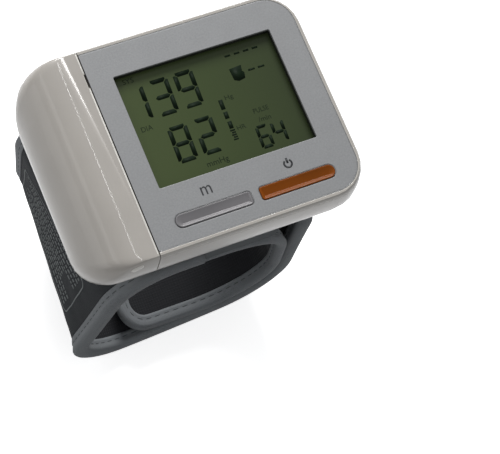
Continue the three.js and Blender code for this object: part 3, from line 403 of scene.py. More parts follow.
def piece(name, points, faces, finish, flat=None):
    """A smooth mesh object. flat gives each point its place on the flat cloth."""
    mesh = bpy.data.meshes.new(name)
    mesh.from_pydata([tuple(p) for p in points], [], faces)
    if flat:
        layer = mesh.uv_layers.new(name="flat")
        for loop in mesh.loops:
            layer.data[loop.index].uv = flat[loop.vertex_index]
    mesh.shade_smooth()
    mesh.materials.append(finish.material)
    made = bpy.data.objects.new(name, mesh)
    bpy.context.scene.collection.objects.link(made)
    return made


class Build:
    """Collects points and faces of one piece that is made of many bits."""

    def __init__(self):
        self.points, self.faces, self.flat = [], [], []

    def rings(self, rings, flat=None, closed=False, capped=True):
        """Joins rings of points, each ring closed, into a skin. A closed skin has no caps."""
        base, count = len(self.points), len(rings[0])
        for i, ring in enumerate(rings):
            self.points += ring
            self.flat += flat[i] if flat else [(0, 0)] * count
        total = len(rings)
        for i in range(total if closed else total - 1):
            a, b = base + i * count, base + (i + 1) % total * count
            for j in range(count):
                k = (j + 1) % count
                self.faces.append((a + j, a + k, b + k, b + j))
        if capped and not closed:
            self.faces.append(tuple(base + j for j in reversed(range(count))))
            self.faces.append(tuple(base + (total - 1) * count + j for j in range(count)))
        return self

    def prism(self, shape, z0, z1):
        """A flat shape given as (x, y) points, anticlockwise."""
        return self.rings([[(x, y, z) for x, y in shape] for z in (z0, z1)])

    def made(self, name, finish):
        return piece(name, self.points, self.faces, finish, self.flat)


def settle(made, body, slot, *replaced):
    """Fixes a piece to one body, or bends it by a blend of two, and stands it for its CAD nodes."""
    if isinstance(body, dict):
        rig.blend(made, **body)
    else:
        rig.ride(made, body)
    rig.slot(made, slot)
    if replaced:
        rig.replaces(made, *replaced)


def ease(share):
    """A smooth step from 0 to 1."""
    share = min(1, max(0, share))
    return share * share * (3 - 2 * share)


# Straps of the cuff: the same side lines as the CAD part's

class Line:
    """A side line of a strap in the XZ plane, made of straights and arcs."""

    def __init__(self, x, z, heading):
        self.pen = (x, z, math.radians(heading))
        self.parts = []

    def straight(self, length):
        x, z, heading = self.pen
        self.add(length, lambda share: (x + math.cos(heading) * length * share,
                                        z + math.sin(heading) * length * share, heading))

    def bend(self, radius, degrees):
        x, z, heading = self.pen
        turn = math.radians(degrees)
        reach = radius if turn > 0 else -radius
        centre = (x - reach * math.sin(heading), z + reach * math.cos(heading))

        def walk(share):
            now = heading + turn * share
            return (centre[0] + reach * math.sin(now), centre[1] - reach * math.cos(now), now)
        self.add(radius * abs(turn), walk)

    def add(self, length, walk):
        self.parts.append((length, walk))
        self.pen = walk(1)


class Strap:
    """A strap between a near and a far side line. side is 1 where offsets point outward on the left."""

    def __init__(self, near, far, near_y, width, side, shift):
        self.near, self.far, self.near_y = near, far, near_y
        self.width, self.side, self.shift = width, side, shift
        self.length = sum(length for length, _ in near.parts)

    def at(self, run, across, offset):
        """The place at a run along the strap, a way across it and an offset from its middle layer."""
        i, left = 0, run
        while i < len(self.near.parts) - 1 and left > self.near.parts[i][0]:
            left -= self.near.parts[i][0]
            i += 1
        share = left / self.near.parts[i][0]
        mix = across / self.width
        reach = self.side * offset
        ends = []
        for line in (self.near, self.far):
            x, z, heading = line.parts[i][1](share)
            ends.append((x + reach * math.sin(heading), z - reach * math.cos(heading)))
        (x0, z0), (x1, z1) = ends
        return (x0 + (x1 - x0) * mix, self.near_y + across + self.shift(run), z0 + (z1 - z0) * mix)


cuff_drop = 71 * MM
skin = 0.8 * MM
fit = 0.3 * MM
bladder_thickness = 1.5 * MM
tape_wall = 0.55 * MM
tape_reach = 4.5 * MM
strap_layers = 2 * skin + bladder_thickness + 2 * fit
strap_edge = strap_layers + 2 * fit + 2 * tape_wall
tail_skin = 0.7 * MM
tail_layers = 2 * tail_skin + fit
tail_edge = tail_layers + 2 * fit + 2 * tape_wall
seat_thickness = 3.1 * MM
edge_inset = tape_wall + fit
root_start = -3.3 * MM
hinge_height = 19.5 * MM
floor_end = 12.4 * MM
seam_height = 0.42 * MM  # of the stitched tape over the cloth
seam_depth = 0.68 * tape_reach
relief_fade = 9 * MM
root_skew = -1.5 * MM
flap_skew = 5 * MM


def outer_line(level, radius, lean, foot):
    """Along the underside, down the battery end, round the wrist and up the other side."""
    line = Line(root_start, cuff_drop - strap_edge / 2, 180)
    line.straight(level)
    line.bend(radius, 90 - lean)
    line.straight((line.pen[1] - foot) / math.cos(math.radians(lean)))
    low = (foot - strap_edge / 2) / (1 + math.sin(math.radians(lean)))
    above = lean - math.degrees(math.asin((hinge_height - strap_edge / 2) / low - 1))
    line.bend(low, above)
    line.bend(low, 90 + lean - above)
    line.straight(floor_end - line.pen[0])
    line.bend(21 * MM, 90)
    line.straight(40 * MM)
    return line


def inner_line(floor_run):
    """Over the wrist and back along the floor."""
    line = Line(root_start + fit, cuff_drop - seat_thickness - tail_edge / 2, 0)
    line.straight(6.1 * MM)
    line.bend(30 * MM, -25)
    line.bend(18 * MM, -60)
    line.straight(14 * MM)
    floor = strap_edge + fit + tail_edge / 2
    line.bend((line.pen[1] - floor) / (1 + math.cos(line.pen[2])), -95)
    line.straight(floor_run)
    line.bend(25 * MM, -33)
    return line


near_line = outer_line(level=7.2 * MM, radius=20 * MM, lean=12.2, foot=22.5 * MM)
far_line = outer_line(level=18.2 * MM, radius=15.2 * MM, lean=-4.2, foot=36 * MM)
root_length = sum(length for length, _ in near_line.parts[:4])


def outer_shift(run):
    """The strap lies a little askew on the wrist."""
    if run < root_length:
        return root_skew * ease(run / root_length)
    return root_skew + flap_skew * ease((run - root_length) / (outer.length - root_length))


outer = Strap(near_line, far_line, -29.65 * MM, 59 * MM, 1, outer_shift)
inner = Strap(inner_line(10 * MM), inner_line(2 * MM), -28.85 * MM, 57 * MM, -1, lambda run: 0)


def relief(strap, start, end, crown, crease):
    """A function for how far the cloth stands off its flat layer between two runs."""
    def lift(run, across):
        along = ease((run - start) / relief_fade) * ease((end - run) / relief_fade)
        share = across / strap.width
        sides = ease(min(share, 1 - share) * 5)
        broad = noise.noise(Vector((run * 90, across * 45, 3.1)))
        small = noise.noise(Vector((run * 260, across * 120, 7.7)))
        return along * sides * (crown + crease * (broad + 0.5 * small))
    return lift


def paced(strap, run0, run1, edges, steps):
    """Runs between two ends that are evenly spaced along the strap's named edges."""
    count = 1200
    fine = [run0 + (run1 - run0) * i / count for i in range(count + 1)]
    walked = [0]
    for a, b in zip(fine, fine[1:]):
        walked.append(walked[-1] + sum(math.dist(strap.at(a, edge, 0), strap.at(b, edge, 0)) for edge in edges))
    picked, k = [], 0
    for i in range(steps + 1):
        goal = walked[-1] * i / steps
        while k < count - 1 and walked[k + 1] < goal:
            k += 1
        picked.append(fine[k] + (fine[k + 1] - fine[k]) * (goal - walked[k]) / (walked[k + 1] - walked[k]))
    return picked


def cloth(strap, name, finish, run0, run1, low, high, corner, lift, margin=edge_inset):
    """A layer of cloth between two offsets, from edge to edge under the tapes or within a margin."""
    columns, corner_steps = 36, 8
    square_end = run1 - corner
    runs = paced(strap, run0, square_end, (0, strap.width), 120)
    runs += [square_end + corner * math.sin(math.pi / 2 * i / corner_steps) for i in range(1, corner_steps + 1)]
    rings, flat = [], []
    near_walk, far_walk, last = 0, 0, run0
    for run in runs:
        near_walk += math.dist(strap.at(last, 0, 0), strap.at(run, 0, 0))
        far_walk += math.dist(strap.at(last, strap.width, 0), strap.at(run, strap.width, 0))
        last = run
        into = max(0, run - square_end)
        inset = margin + corner - math.sqrt(max(0, corner * corner - into * into))
        places = [inset + (strap.width - 2 * inset) * k / columns for k in range(columns + 1)]
        lower, upper = ([strap.at(run, across, level + lift(run, across)) for across in places]
                        for level in (low, high))
        rings.append(lower + upper[::-1])
        marks = [(a, near_walk + (far_walk - near_walk) * a / strap.width) for a in places]
        flat.append(marks + marks[::-1])
    build = Build().rings(rings, flat, capped=False)
    count = len(rings[0])
    for base in (0, (len(rings) - 1) * count):
        for k in range(columns):
            quad = (base + k, base + k + 1, base + count - 2 - k, base + count - 1 - k)
            build.faces.append(quad if base else quad[::-1])
    return build.made(name, finish)


def round_route(strap, run0, run1, radius):
    """Along the near edge, round the end and back: points of run, across and the way inward in both."""
    def side(across, inward):
        return [(run, across, 0, inward) for run in paced(strap, run0, run1 - radius, (across,), 110)]

    def corner(centre, sign):
        points = []
        for i in range(1, 10):
            angle = math.pi / 2 * i / 10
            over, along = math.cos(angle), math.sin(angle)
            points.append((run1 - radius + radius * along, centre - sign * radius * over, -along, sign * over))
        return points
    span = strap.width - 2 * radius
    tip = [(run1, radius + span * i / 20, -1, 0) for i in range(21)]
    far = side(strap.width, -1)[::-1]
    return side(0, 1) + corner(radius, 1) + tip + corner(strap.width - radius, -1)[::-1] + far


def tape(strap, name, finish, route, layers):
    """The folded edge tape: a rounded nose and two legs that press onto the cloth."""
    outside = layers / 2 + fit + tape_wall
    inside = layers / 2 + fit * 0.6
    rim = layers / 2 + seam_height
    turns = [math.pi / 2 - math.pi * i / 8 for i in range(9)]
    nose = [((1 - math.cos(turn)) * 1.5 * MM, -outside * math.sin(turn)) for turn in turns]
    leg = [(tape_reach, -rim), (tape_reach * 0.8, -rim - 0.16 * MM), (seam_depth, -rim - 0.02 * MM),
           (tape_reach * 0.55, -rim - 0.2 * MM)]
    inner_side = [(tape_reach, inside), (tape_wall, inside), (tape_wall, -inside), (tape_reach, -inside)]
    section = leg + nose + [(d, -o) for d, o in reversed(leg)] + inner_side
    rings, flat, walked, last = [], [], 0, None
    for run, across, in_run, in_across in route:
        here = Vector(strap.at(run, across, 0))
        walked += (here - last).length if last else 0
        last = here
        rings.append([strap.at(run + d * in_run, across + d * in_across, o) for d, o in section])
        flat.append([(d + 3 * o, walked) for d, o in section])
    build = Build().rings(rings, flat, capped=False)
    count = len(section)
    outer_part = count - len(inner_side)
    for base, turned in ((0, True), ((len(rings) - 1) * count, False)):
        caps = [tuple(base + j for j in [*range(outer_part // 2 + 1), count - 2, count - 1]),
                tuple(base + j for j in [*range(outer_part // 2, outer_part), count - 4, count - 3, count - 2])]
        build.faces += [cap[::-1] if turned else cap for cap in caps]
    return build.made(name, finish)


def stitches(strap, name, route, depth, offsets, lift=lambda run, across: 0, long=2.3 * MM, spare=0.9 * MM):
    """Short thread stitches along a route, on each face that offsets names."""
    walked, last = [0], None
    for run, across, in_run, in_across in route:
        here = Vector(strap.at(run + depth * in_run, across + depth * in_across, 0))
        if last is not None:
            walked.append(walked[-1] + (here - last).length)
        last = here

    def on(distance):
        """Run and across at a distance along the route."""
        i = 0
        while i < len(walked) - 2 and walked[i + 1] < distance:
            i += 1
        share = (distance - walked[i]) / max(1e-9, walked[i + 1] - walked[i])
        run, across, in_run, in_across = (a + (b - a) * share for a, b in zip(route[i], route[i + 1]))
        return run + depth * in_run, across + depth * in_across
    build = Build()
    thick = 0.17 * MM
    at = spare
    while at + long < walked[-1]:
        for offset in offsets:
            rings = []
            for share, size in ((0, 0.35), (0.12, 0.85), (0.5, 1), (0.88, 0.85), (1, 0.35)):
                run, across = on(at + long * share)
                ahead_run, ahead_across = on(at + long * share + 0.1 * MM)
                side_run, side_across = across - ahead_across, ahead_run - run
                half_wide = thick * size / max(1e-9, math.hypot(side_run, side_across))
                sink = (1 - size) * -thick * 1.4 * (1 if offset > 0 else -1)
                middle = offset + sink + lift(run, across)
                rings.append([strap.at(run + side_run * half_wide * c, across + side_across * half_wide * c,
                                       middle + thick * size * s) for c, s in around(6)])
            build.rings(rings)
        at += long + spare
    return build.made(name, thread_finish)


cloth_finish = woven("cuff_cloth", (25, 27, 29), (42, 45, 48), 0.5 * MM, 0.05 * MM, 0.85, Sheen_Weight=0.06,
                     Specular_IOR_Level=0.25)
lining_finish = woven("cuff_lining", (21, 22, 24), (38, 39, 42), 0.9 * MM, 0.09 * MM, 0.95, Sheen_Weight=0.1,
                      Specular_IOR_Level=0.3)
tape_finish = woven("cuff_tape", (80, 84, 87), (126, 130, 133), 0.55 * MM, 0.09 * MM, 0.8, 0.8, Sheen_Weight=0.12)
thread_finish = woven("cuff_thread", (52, 56, 59), (78, 82, 85), 0.3 * MM, 0.03 * MM, 0.8)
hook_finish = woven("hook_tape", (24, 25, 27), (52, 54, 57), 0.8 * MM, 0.2 * MM, 0.6)
hook_finish.bump(hook_finish.cells(0.6 * MM, "UV"), 0.25 * MM)
film_finish = moulded("bladder_film", (96, 102, 104), 0.35, 0.85)
film_finish.bump(film_finish.speckle(6 * MM, 3), 0.3 * MM, 0.5)
label_finish = woven("label_ink", (92, 97, 98), (116, 121, 121), 0.5 * MM, 0.04 * MM, 0.7)


def dress(strap, name, start, radius, layers, wall, cloth_lift, lining_lift):
    """The cloth, lining, edge tape and stitches of one strap. radius is its end's corner."""
    half, seam = layers / 2, layers / 2 + seam_height
    end, corner = strap.length - edge_inset, radius - edge_inset
    route = round_route(strap, start, strap.length, radius)
    return (cloth(strap, f"cuff_{name}_cloth", cloth_finish, start, end, half - wall, half, corner, cloth_lift),
            cloth(strap, f"cuff_{name}_lining", lining_finish, start, end, -half, wall - half, corner,
                  lining_lift),
            tape(strap, f"cuff_{name}_tape", tape_finish, route, layers),
            stitches(strap, f"cuff_{name}_stitches", route, seam_depth, (seam, -seam)))


outer_blend = {"a": "monitor", "b": "cuff_flap", "start": (-0.0390, 0, 0.0310), "end": (-0.0255, 0, 0.0160)}
inner_blend = {"a": "monitor", "b": "cuff_inner_end", "start": (0.0122, 0, 0.0648), "end": (0.0172, 0, 0.0561)}

half = strap_layers / 2
outer_free = (12 * MM, outer.length - 4 * MM)
outer_lift = relief(outer, *outer_free, 0.55 * MM, 0.35 * MM)
lining_lift = relief(outer, *outer_free, -0.3 * MM, 0.4 * MM)
outer_cloth, outer_lining, outer_tape, outer_thread = dress(outer, "outer", 0, 9 * MM, strap_layers, skin,
                                                            outer_lift, lining_lift)
settle(outer_cloth, outer_blend, "cloth", "cuff_root_outer", "cuff_flap_outer")
settle(outer_lining, outer_blend, "lining", "cuff_root_lining", "cuff_flap_lining")
settle(outer_tape, outer_blend, "tape", "cuff_root_near_binding", "cuff_root_far_binding", "cuff_flap_binding")
settle(outer_thread, outer_blend, "tape")

bladder_low = skin + fit - half
bladder = cloth(outer, "cuff_air_bladder", film_finish, 1 * MM, outer.length - 6 * MM, bladder_low,
                bladder_low + bladder_thickness, 5 * MM, relief(outer, *outer_free, 0.1 * MM, 0.12 * MM), 6 * MM)
settle(bladder, outer_blend, "hose", "cuff_root_bladder", "cuff_flap_bladder")
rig.padded(bladder, 0.1)

patch_length = 29 * MM
patch_end = outer.length - 9 * MM
patch_start = patch_end - patch_length


def patch_route():
    """Along the four sides of the hook tape, a little inside its edge."""
    inset, near = 1.4 * MM, 10.2 * MM
    far = outer.width - near
    shares = [i / 60 for i in range(61)]
    return [*((patch_start + patch_length * share, near, 0, 1) for share in shares[3:-3]),
            *((patch_end - inset, near + (far - near) * share, -1, 0) for share in shares),
            *((patch_end - patch_length * share, far, 0, -1) for share in shares[3:-3]),
            *((patch_start + inset, far - (far - near) * share, 1, 0) for share in shares)]


hook_patch = cloth(outer, "cuff_hook_tape", hook_finish, patch_start, patch_end, -half - 0.35 * MM, -half,
                   2 * MM, lining_lift, 9 * MM)
patch_thread = stitches(outer, "cuff_hook_stitches", patch_route(), 0, (-half - 0.38 * MM,), lining_lift,
                        1.9 * MM, 0.7 * MM)
settle(hook_patch, "cuff_flap", "lining", "cuff_hook_patch")
settle(patch_thread, "cuff_flap", "lining")


def label():
    """A printed patch on the battery end's cloth: a thin rounded border round rows of plain dashes."""
    build = Build()
    run0, run1, across0, across1, corner = 39.5 * MM, 64.5 * MM, 11.5 * MM, 51.5 * MM, 2.5 * MM
    bottom, top = half - 0.03 * MM, half + 0.08 * MM

    def strip(places, wide):
        """A flat line of ink through places of run and across."""
        rings = []
        for i, (run, across) in enumerate(places):
            before, after = places[max(0, i - 1)], places[min(len(places) - 1, i + 1)]
            along = Vector((after[0] - before[0], after[1] - before[1])).normalized()
            over = Vector((-along.y, along.x)) * wide / 2
            ring = []
            for side, offset in ((-1, bottom), (-1, top), (1, top), (1, bottom)):
                r, a = run + side * over.x, across + side * over.y
                ring.append(outer.at(r, a, offset + outer_lift(r, a)))
            rings.append(ring)
        build.rings(rings)

    border = outline(run0, run1, across0, across1, corner, corner, 6)[::-1]
    border = border[14:] + border[:15]
    fine = []
    for (r0, a0), (r1, a1) in zip(border, border[1:]):
        steps = max(1, round(math.hypot(r1 - r0, a1 - a0) / MM))
        fine += [(r0 + (r1 - r0) * i / steps, a0 + (a1 - a0) * i / steps) for i in range(steps)]
    strip(fine + [fine[0]], 0.42 * MM)
    for row in range(10):
        run = run0 + (2.2 + 2.25 * row) * MM
        across = across0 + 2.4 * MM
        stop = across1 - (2.4 + 9 * abs(noise.noise(Vector((row * 3.7, 0.5, 0.1))))) * MM
        if 3 < row < 7:
            across += 6.5 * MM
        k = 0
        while across < stop:
            long = (0.7 + 2.3 * abs(noise.noise(Vector((row * 5.3, k * 1.7, 4.2))))) * MM
            steps = max(2, round(long / (0.8 * MM)))
            strip([(run, across + long * i / steps) for i in range(steps + 1)], 0.85 * MM)
            across += long + 0.5 * MM
            k += 1
    return build.made("cuff_label_print", label_finish)


label_print = label()
settle(label_print, outer_blend, "tape")

joint_lap = 0.28 * MM  # of the inner strap's start past the outer strap's
inner_lift = relief(inner, 16 * MM, inner.length - 4 * MM, 0, 0.3 * MM)
inner_cloth, inner_lining, inner_tape, inner_thread = dress(inner, "inner", -joint_lap, 10 * MM, tail_layers,
                                                            tail_skin, inner_lift, inner_lift)
settle(inner_cloth, inner_blend, "cloth", "cuff_tail_root_outer", "cuff_tail_outer")
settle(inner_lining, inner_blend, "lining", "cuff_tail_root_lining", "cuff_tail_lining")
settle(inner_tape, inner_blend, "tape", "cuff_tail_root_near_binding", "cuff_tail_root_far_binding",
       "cuff_tail_binding")
settle(inner_thread, inner_blend, "tape")

outer_flat = (outer.width - 2 * edge_inset, outer.length - edge_inset)
inner_flat = (inner.width - 2 * edge_inset, inner.length - edge_inset)
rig.sheet(outer_cloth, outer_flat, "stretched", [bladder], with_pieces=[outer_tape, outer_thread, label_print])
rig.sheet(outer_lining, outer_flat, "stretched", [bladder], with_pieces=[hook_patch, patch_thread])
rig.sheet(inner_cloth, inner_flat, "stretched", [outer_lining], with_pieces=[inner_tape, inner_thread])
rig.sheet(inner_lining, inner_flat, "stretched", [inner_cloth])


# Housing

ivory = moulded("ivory_shell", (177, 172, 165), 0.34, 0.97, Coat_Weight=0.5, Coat_Roughness=0.035)
# Painted highlight: the ivory's sharp edges are lightened in colour to stand in for light catching them
ivory.painted_edge_highlight(0.45 * MM, (208, 205, 197))
paint(ivory, "lower_case", "upper_case", "battery_cover")
smooth(28, "lower_case", "upper_case", "battery_cover", "face_panel")

silver = moulded("silver_face", (150, 151, 152), 0.42, Metallic=0.15)
silver.colour(silver.ramp(silver.speckle(0.5 * MM, 1), (0.3, (141, 142, 143)), (0.7, (150, 151, 152))))
paint(silver, "face_panel")
black = moulded("black_plastic", (31, 33, 30), 0.35)
paint(black, "display_bezel", "processor_chip", "pressure_sensor", "buzzer")
seat = moulded("seat_plastic", (88, 93, 95), 0.6, 0.85)
seat.bump(seat.cells(0.6 * MM), 0.05 * MM)
paint(seat, "cuff_seat")
white = moulded("white_plastic", (205, 205, 198), 0.45)
paint(white, "display_holder", "pump_head", "air_manifold")

panel_low, panel_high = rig.box("face_panel")
panel_top = panel_high.z
key_rim = 0.7 * MM  # of the key's flange past its cap
square_corner = 0.9 * MM


def key_ends(node, round_corner):
    """Corner radii of a key's left and right end. The two keys are square where they face each other."""
    ends = (round_corner, square_corner)
    return ends if node == "memory_button" else ends[::-1]


def key(node, finish):
    """A push key: a dished cap with an off-centre valley, its flange under the panel and its stem."""
    low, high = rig.box(node)
    x0, x1, y0, y1 = low.x + key_rim, high.x - key_rim, low.y + key_rim, high.y - key_rim
    left, right = key_ends(node, (y1 - y0) / 2 * 0.98)
    flange_height, stem_radius = 0.9 * MM, 1.3 * MM
    profile = ((0, 3.1), (0, 0.72), (0.05, 0.6), (0.16, 0.53), (0.34, 0.54), (0.5, 0.6))
    flange_top = high.z - profile[0][1] * MM
    flange = outline(low.x, high.x, low.y, high.y, left + key_rim, right + key_rim)
    build = Build().prism(flange, flange_top - flange_height, flange_top)
    rings = []
    for inset, drop in profile:
        inset *= MM
        rings.append([(x, y, high.z - drop * MM) for x, y in
                      outline(x0 + inset, x1 - inset, y0 + inset, y1 - inset, left - inset, right - inset)])
    brink = rings[-1]
    valley_y = y0 + (y1 - y0) * 0.3
    valley_x0, valley_x1 = x0 + left * 0.9 + 0.3 * MM, x1 - right * 0.9 - 0.3 * MM
    for share in (0.35, 0.7, 0.92, 1):
        sunk = high.z - (0.6 + 0.5 * share ** 0.8) * MM
        rings.append([(x + (min(valley_x1, max(valley_x0, x)) - x) * share, y + (valley_y - y) * share, sunk)
                      for x, y, _ in brink])
    build.rings(rings)
    x, y = (x0 + x1) / 2, (y0 + y1) / 2
    build.prism([(x + stem_radius * c, y + stem_radius * s) for c, s in around(20)], low.z, flange_top - 0.5 * MM)
    made = build.made(node.replace("button", "key"), finish)
    made.data.set_sharp_from_angle(angle=math.radians(24))
    settle(made, node, node.split("_")[0], node)


def lip(name, grown, profile):
    """A lip on the panel: its outline grows and drops by the profile's millimetres."""
    rings = [[(x, y, panel_top - drop * MM) for x, y in grown(grow * MM)] for grow, drop in profile]
    settle(Build().rings(rings, closed=True).made(name, silver), "monitor", "panel")


def key_lip(node):
    """The soft lip in the gap between a key and the panel."""
    low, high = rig.box(node)
    left, right = key_ends(node, 1.9 * MM)

    def grown(grow):
        out = grow - key_rim
        return outline(low.x - out, high.x + out, low.y - out, high.y + out, left + grow, right + grow)
    lip(node.replace("button", "key_lip"), grown,
        ((0.06, 0.7), (0.06, 0.22), (0.16, 0.1), (0.28, 0.04), (0.28, 0.7)))


def panel_edge(grow):
    """The panel's outline, grown on the three sides that face the rim."""
    return outline(panel_low.x, panel_high.x + grow, panel_low.y - grow, panel_high.y + grow,
                   0.5 * MM, 8.5 * MM + grow, 12)


key("memory_button", moulded("memory_key", (124, 122, 124), 0.34))
key("power_button", moulded("power_key", (137, 69, 0), 0.34, 0.86, Specular_IOR_Level=0.2))
key_lip("memory_button")
key_lip("power_button")
lip("panel_lip", panel_edge, ((0.01, 0.5), (0.01, 0.01), (0.15, 0.03), (0.27, 0.12), (0.27, 0.5)))

# Painted highlight: an ivory much lighter than the shell, standing in for the glints on the cover's thumb mark and
# seam edge
ivory_highlight_paint = moulded("ivory_painted_highlight", (238, 235, 228), 0.2, Coat_Weight=0.8, Coat_Roughness=0.05)


def thumb_mark():
    """A short raised grip mark on the battery cover: a long pad that sinks into the wall at its rim."""
    start, end = Vector((-30.9, -32.2, 95.8)) * MM, Vector((-27.4, -32.1, 96.9)) * MM
    half_width, height = 0.9 * MM, 0.63 * MM
    out = Vector((0, -1, 0.3)).normalized()
    over = (end - start).normalized().cross(out)
    rings = []
    for i in range(13):
        angle = math.pi * i / 12
        middle = start.lerp(end, (1 - math.cos(angle)) / 2)
        size = max(0.05, math.sin(angle) ** 0.6)
        rings.append([tuple(middle + over * half_width * size * c + out * height * size * s)
                      for c, s in around(10)])
    # The pad takes the lighter ivory, a painted glint
    settle(Build().rings(rings).made("cover_thumb_mark", ivory_highlight_paint), "battery_cover", "case")


def edge_bead(name, y0, y1):
    """The glossy round edge of the battery cover along the seam, in millimetres, coloured much lighter than the cover
    as a painted highlight line.
    """
    x, z, radius = -23.02, 98.74, 0.32
    rings = []
    for y, size in ((y0, 0.3), (y0 + 0.15, 0.8), (y0 + 0.4, 1), (y1 - 0.4, 1), (y1 - 0.15, 0.8), (y1, 0.3)):
        reach = radius * size
        rings.append([((x + reach * c) * MM, y * MM, (z + reach * s) * MM) for c, s in around(12)])
    settle(Build().rings(rings).made(name, ivory_highlight_paint), "battery_cover", "case")


thumb_mark()
edge_bead("cover_edge_bead_near", -31.2, 20.2)
edge_bead("cover_edge_bead_far", 24.8, 31.2)


# What the display shows, and the marks on the face panel. Places are millimetres from the window's middle.

lcd = Finish("lcd_film", (60, 72, 40), 0.3, Specular_IOR_Level=0.3, Coat_Weight=0.15, Coat_Roughness=0.1)
# Painted shading: the film is lighter on the left of the window and darker towards the right
shade_across_window = lcd.span(lcd.along("X"), -15.6 * MM, 32.4 * MM)
lcd.colour(lcd.ramp(shade_across_window, (0, (66, 79, 42)), (0.55, (57, 70, 36)), (1, (50, 61, 33))))
lcd.bump(lcd.cells(0.35 * MM), 0.01 * MM, 0.3)
paint(lcd, "display_glass")

ink = inked("lcd_ink", (14, 26, 15), (22, 36, 21), 2 * MM, 0.6, Specular_IOR_Level=0.1)
faint_ink = inked("lcd_faint_ink", (26, 38, 22), (35, 47, 28), 1 * MM, 0.6, Specular_IOR_Level=0.1)
print_ink = inked("panel_ink", (33, 35, 38), (46, 48, 51), 0.4 * MM, 0.5)

glass_low, glass_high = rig.box("display_glass")
window_x = (glass_low.x + glass_high.x) / 2
window_y = (glass_low.y + glass_high.y) / 2
film = 0.02 * MM
marks_low = glass_high.z + film
lean = 0.04

# The seven bars of a digit by their usual letters, with their ends as shares of its width and height
BAR_ENDS = {"a": ((0, 1), (1, 1)), "b": ((1, 1), (1, 0.5)), "c": ((1, 0.5), (1, 0)), "d": ((0, 0), (1, 0)),
            "e": ((0, 0.5), (0, 0)), "f": ((0, 1), (0, 0.5)), "g": ((0, 0.5), (1, 0.5))}
BARS = {"1": "bc", "2": "abged", "3": "abgcd", "4": "fgbc", "6": "afgedc", "8": "abcdefg", "9": "abcdfg"}


def flat_mark(build, points, low=marks_low):
    """A film of ink with that outline."""
    build.prism([(window_x + x * MM, window_y + y * MM) for x, y in points], low, low + film)


def digit(build, character, left, low, width, height, thick):
    """A digit of mitred bars, longer on their outer side, that leans a little to the right."""
    middle = Vector((width, height)) / 2
    for letter in BARS[character]:
        a, b = (Vector((thick / 2 + x * (width - thick), thick / 2 + y * (height - thick)))
                for x, y in BAR_ENDS[letter])
        along = (b - a).normalized()
        over = Vector((-along.y, along.x)) * thick / 2
        if over.dot((a + b) / 2 - middle) < 0:
            over = -over
        tip, inside = along * thick * 0.12, along * thick * 0.62
        waist = inside if letter == "g" else tip
        corners = [a + tip, a + inside - over, b - inside - over, b - tip, b - waist + over, a + waist + over]
        flat_mark(build, [(left + p.x + lean * p.y, low + p.y) for p in corners])


def bar(build, left, low, right, high):
    """An upright mark that leans with the digits."""
    corners = ((left, low), (right, low), (right, high), (left, high))
    flat_mark(build, [(x + lean * (y - low), y) for x, y in corners])


def display_marks():
    """Digits, pressure column, dashes and cuff symbol."""
    build = Build()
    for text, places, low, width, height, thick in (
            ("139", (-22.9, -15.3, -7.7), 2.85, 6.0, 11.2, 1.3),
            ("82", (-15.35, -7.7), -11.9, 5.9, 11.1, 1.3),
            ("64", (8.65, 13.2), -15.35, 3.9, 7.1, 0.95)):
        for character, left in zip(text, places):
            digit(build, character, left, low, width, height, thick)
    for low, high in ((-0.6, 2.4), (-3.5, -1.4), (-6.6, -4.4)):
        bar(build, 2.1, low, 3.35, high)
    for i in range(5):
        low = -10.2 + 0.7 * i
        bar(build, 2.3 if i % 2 else 2.0, low, 3.4, low + 0.45)
    for left in (9.2, 12.1, 14.9, 17.7):
        bar(build, left, 14.05, left + 1.7, 14.6)
    for left in (14.1, 17.1):
        bar(build, left, 8.1, left + 2.0, 8.65)
    flat_mark(build, [(9.1, 6.8), (10.4, 6.1), (12.4, 6.5), (12.8, 8.2), (12.3, 8.8), (12.7, 10.6), (8.9, 10.3)])
    return build.made("lcd_marks", ink)


def writing(name, entries, finish, z):
    """Flat lettering. Each entry is (text, x, y, size, width share)."""
    build = Build()
    for text, x, y, size, squeeze in entries:
        curve = bpy.data.curves.new(name, "FONT")
        curve.body = text
        curve.size = size * MM
        curve.align_x = curve.align_y = "CENTER"
        curve.extrude = film / 2
        curve.resolution_u = 3
        holder = bpy.data.objects.new(name, curve)
        mesh = bpy.data.meshes.new_from_object(holder)
        base = len(build.points)
        build.points += [(window_x + x * MM + vertex.co.x * squeeze, window_y + y * MM + vertex.co.y,
                          z + film + vertex.co.z) for vertex in mesh.vertices]
        build.flat += [(0, 0)] * len(mesh.vertices)
        build.faces += [tuple(base + i for i in polygon.vertices) for polygon in mesh.polygons]
        bpy.data.objects.remove(holder)
    return build.made(name, finish)


def power_sign(x, y):
    """A ring that is open at the top, and an upright bar in the gap."""
    inside, outside, low = 0.86 * MM, 1.4 * MM, panel_top + film / 2
    rings = []
    for i in range(29):
        angle = math.radians(125 + 290 * i / 28)
        c, s = math.cos(angle), math.sin(angle)
        rings.append([(window_x + x * MM + r * c, window_y + y * MM + r * s, z) for r, z in
                      ((inside, low), (outside, low), (outside, low + film), (inside, low + film))])
    build = Build().rings(rings)
    flat_mark(build, [(x - 0.3, y + 0.1), (x + 0.3, y + 0.1), (x + 0.3, y + 1.7), (x - 0.3, y + 1.7)], low)
    return build.made("panel_power_sign", print_ink)


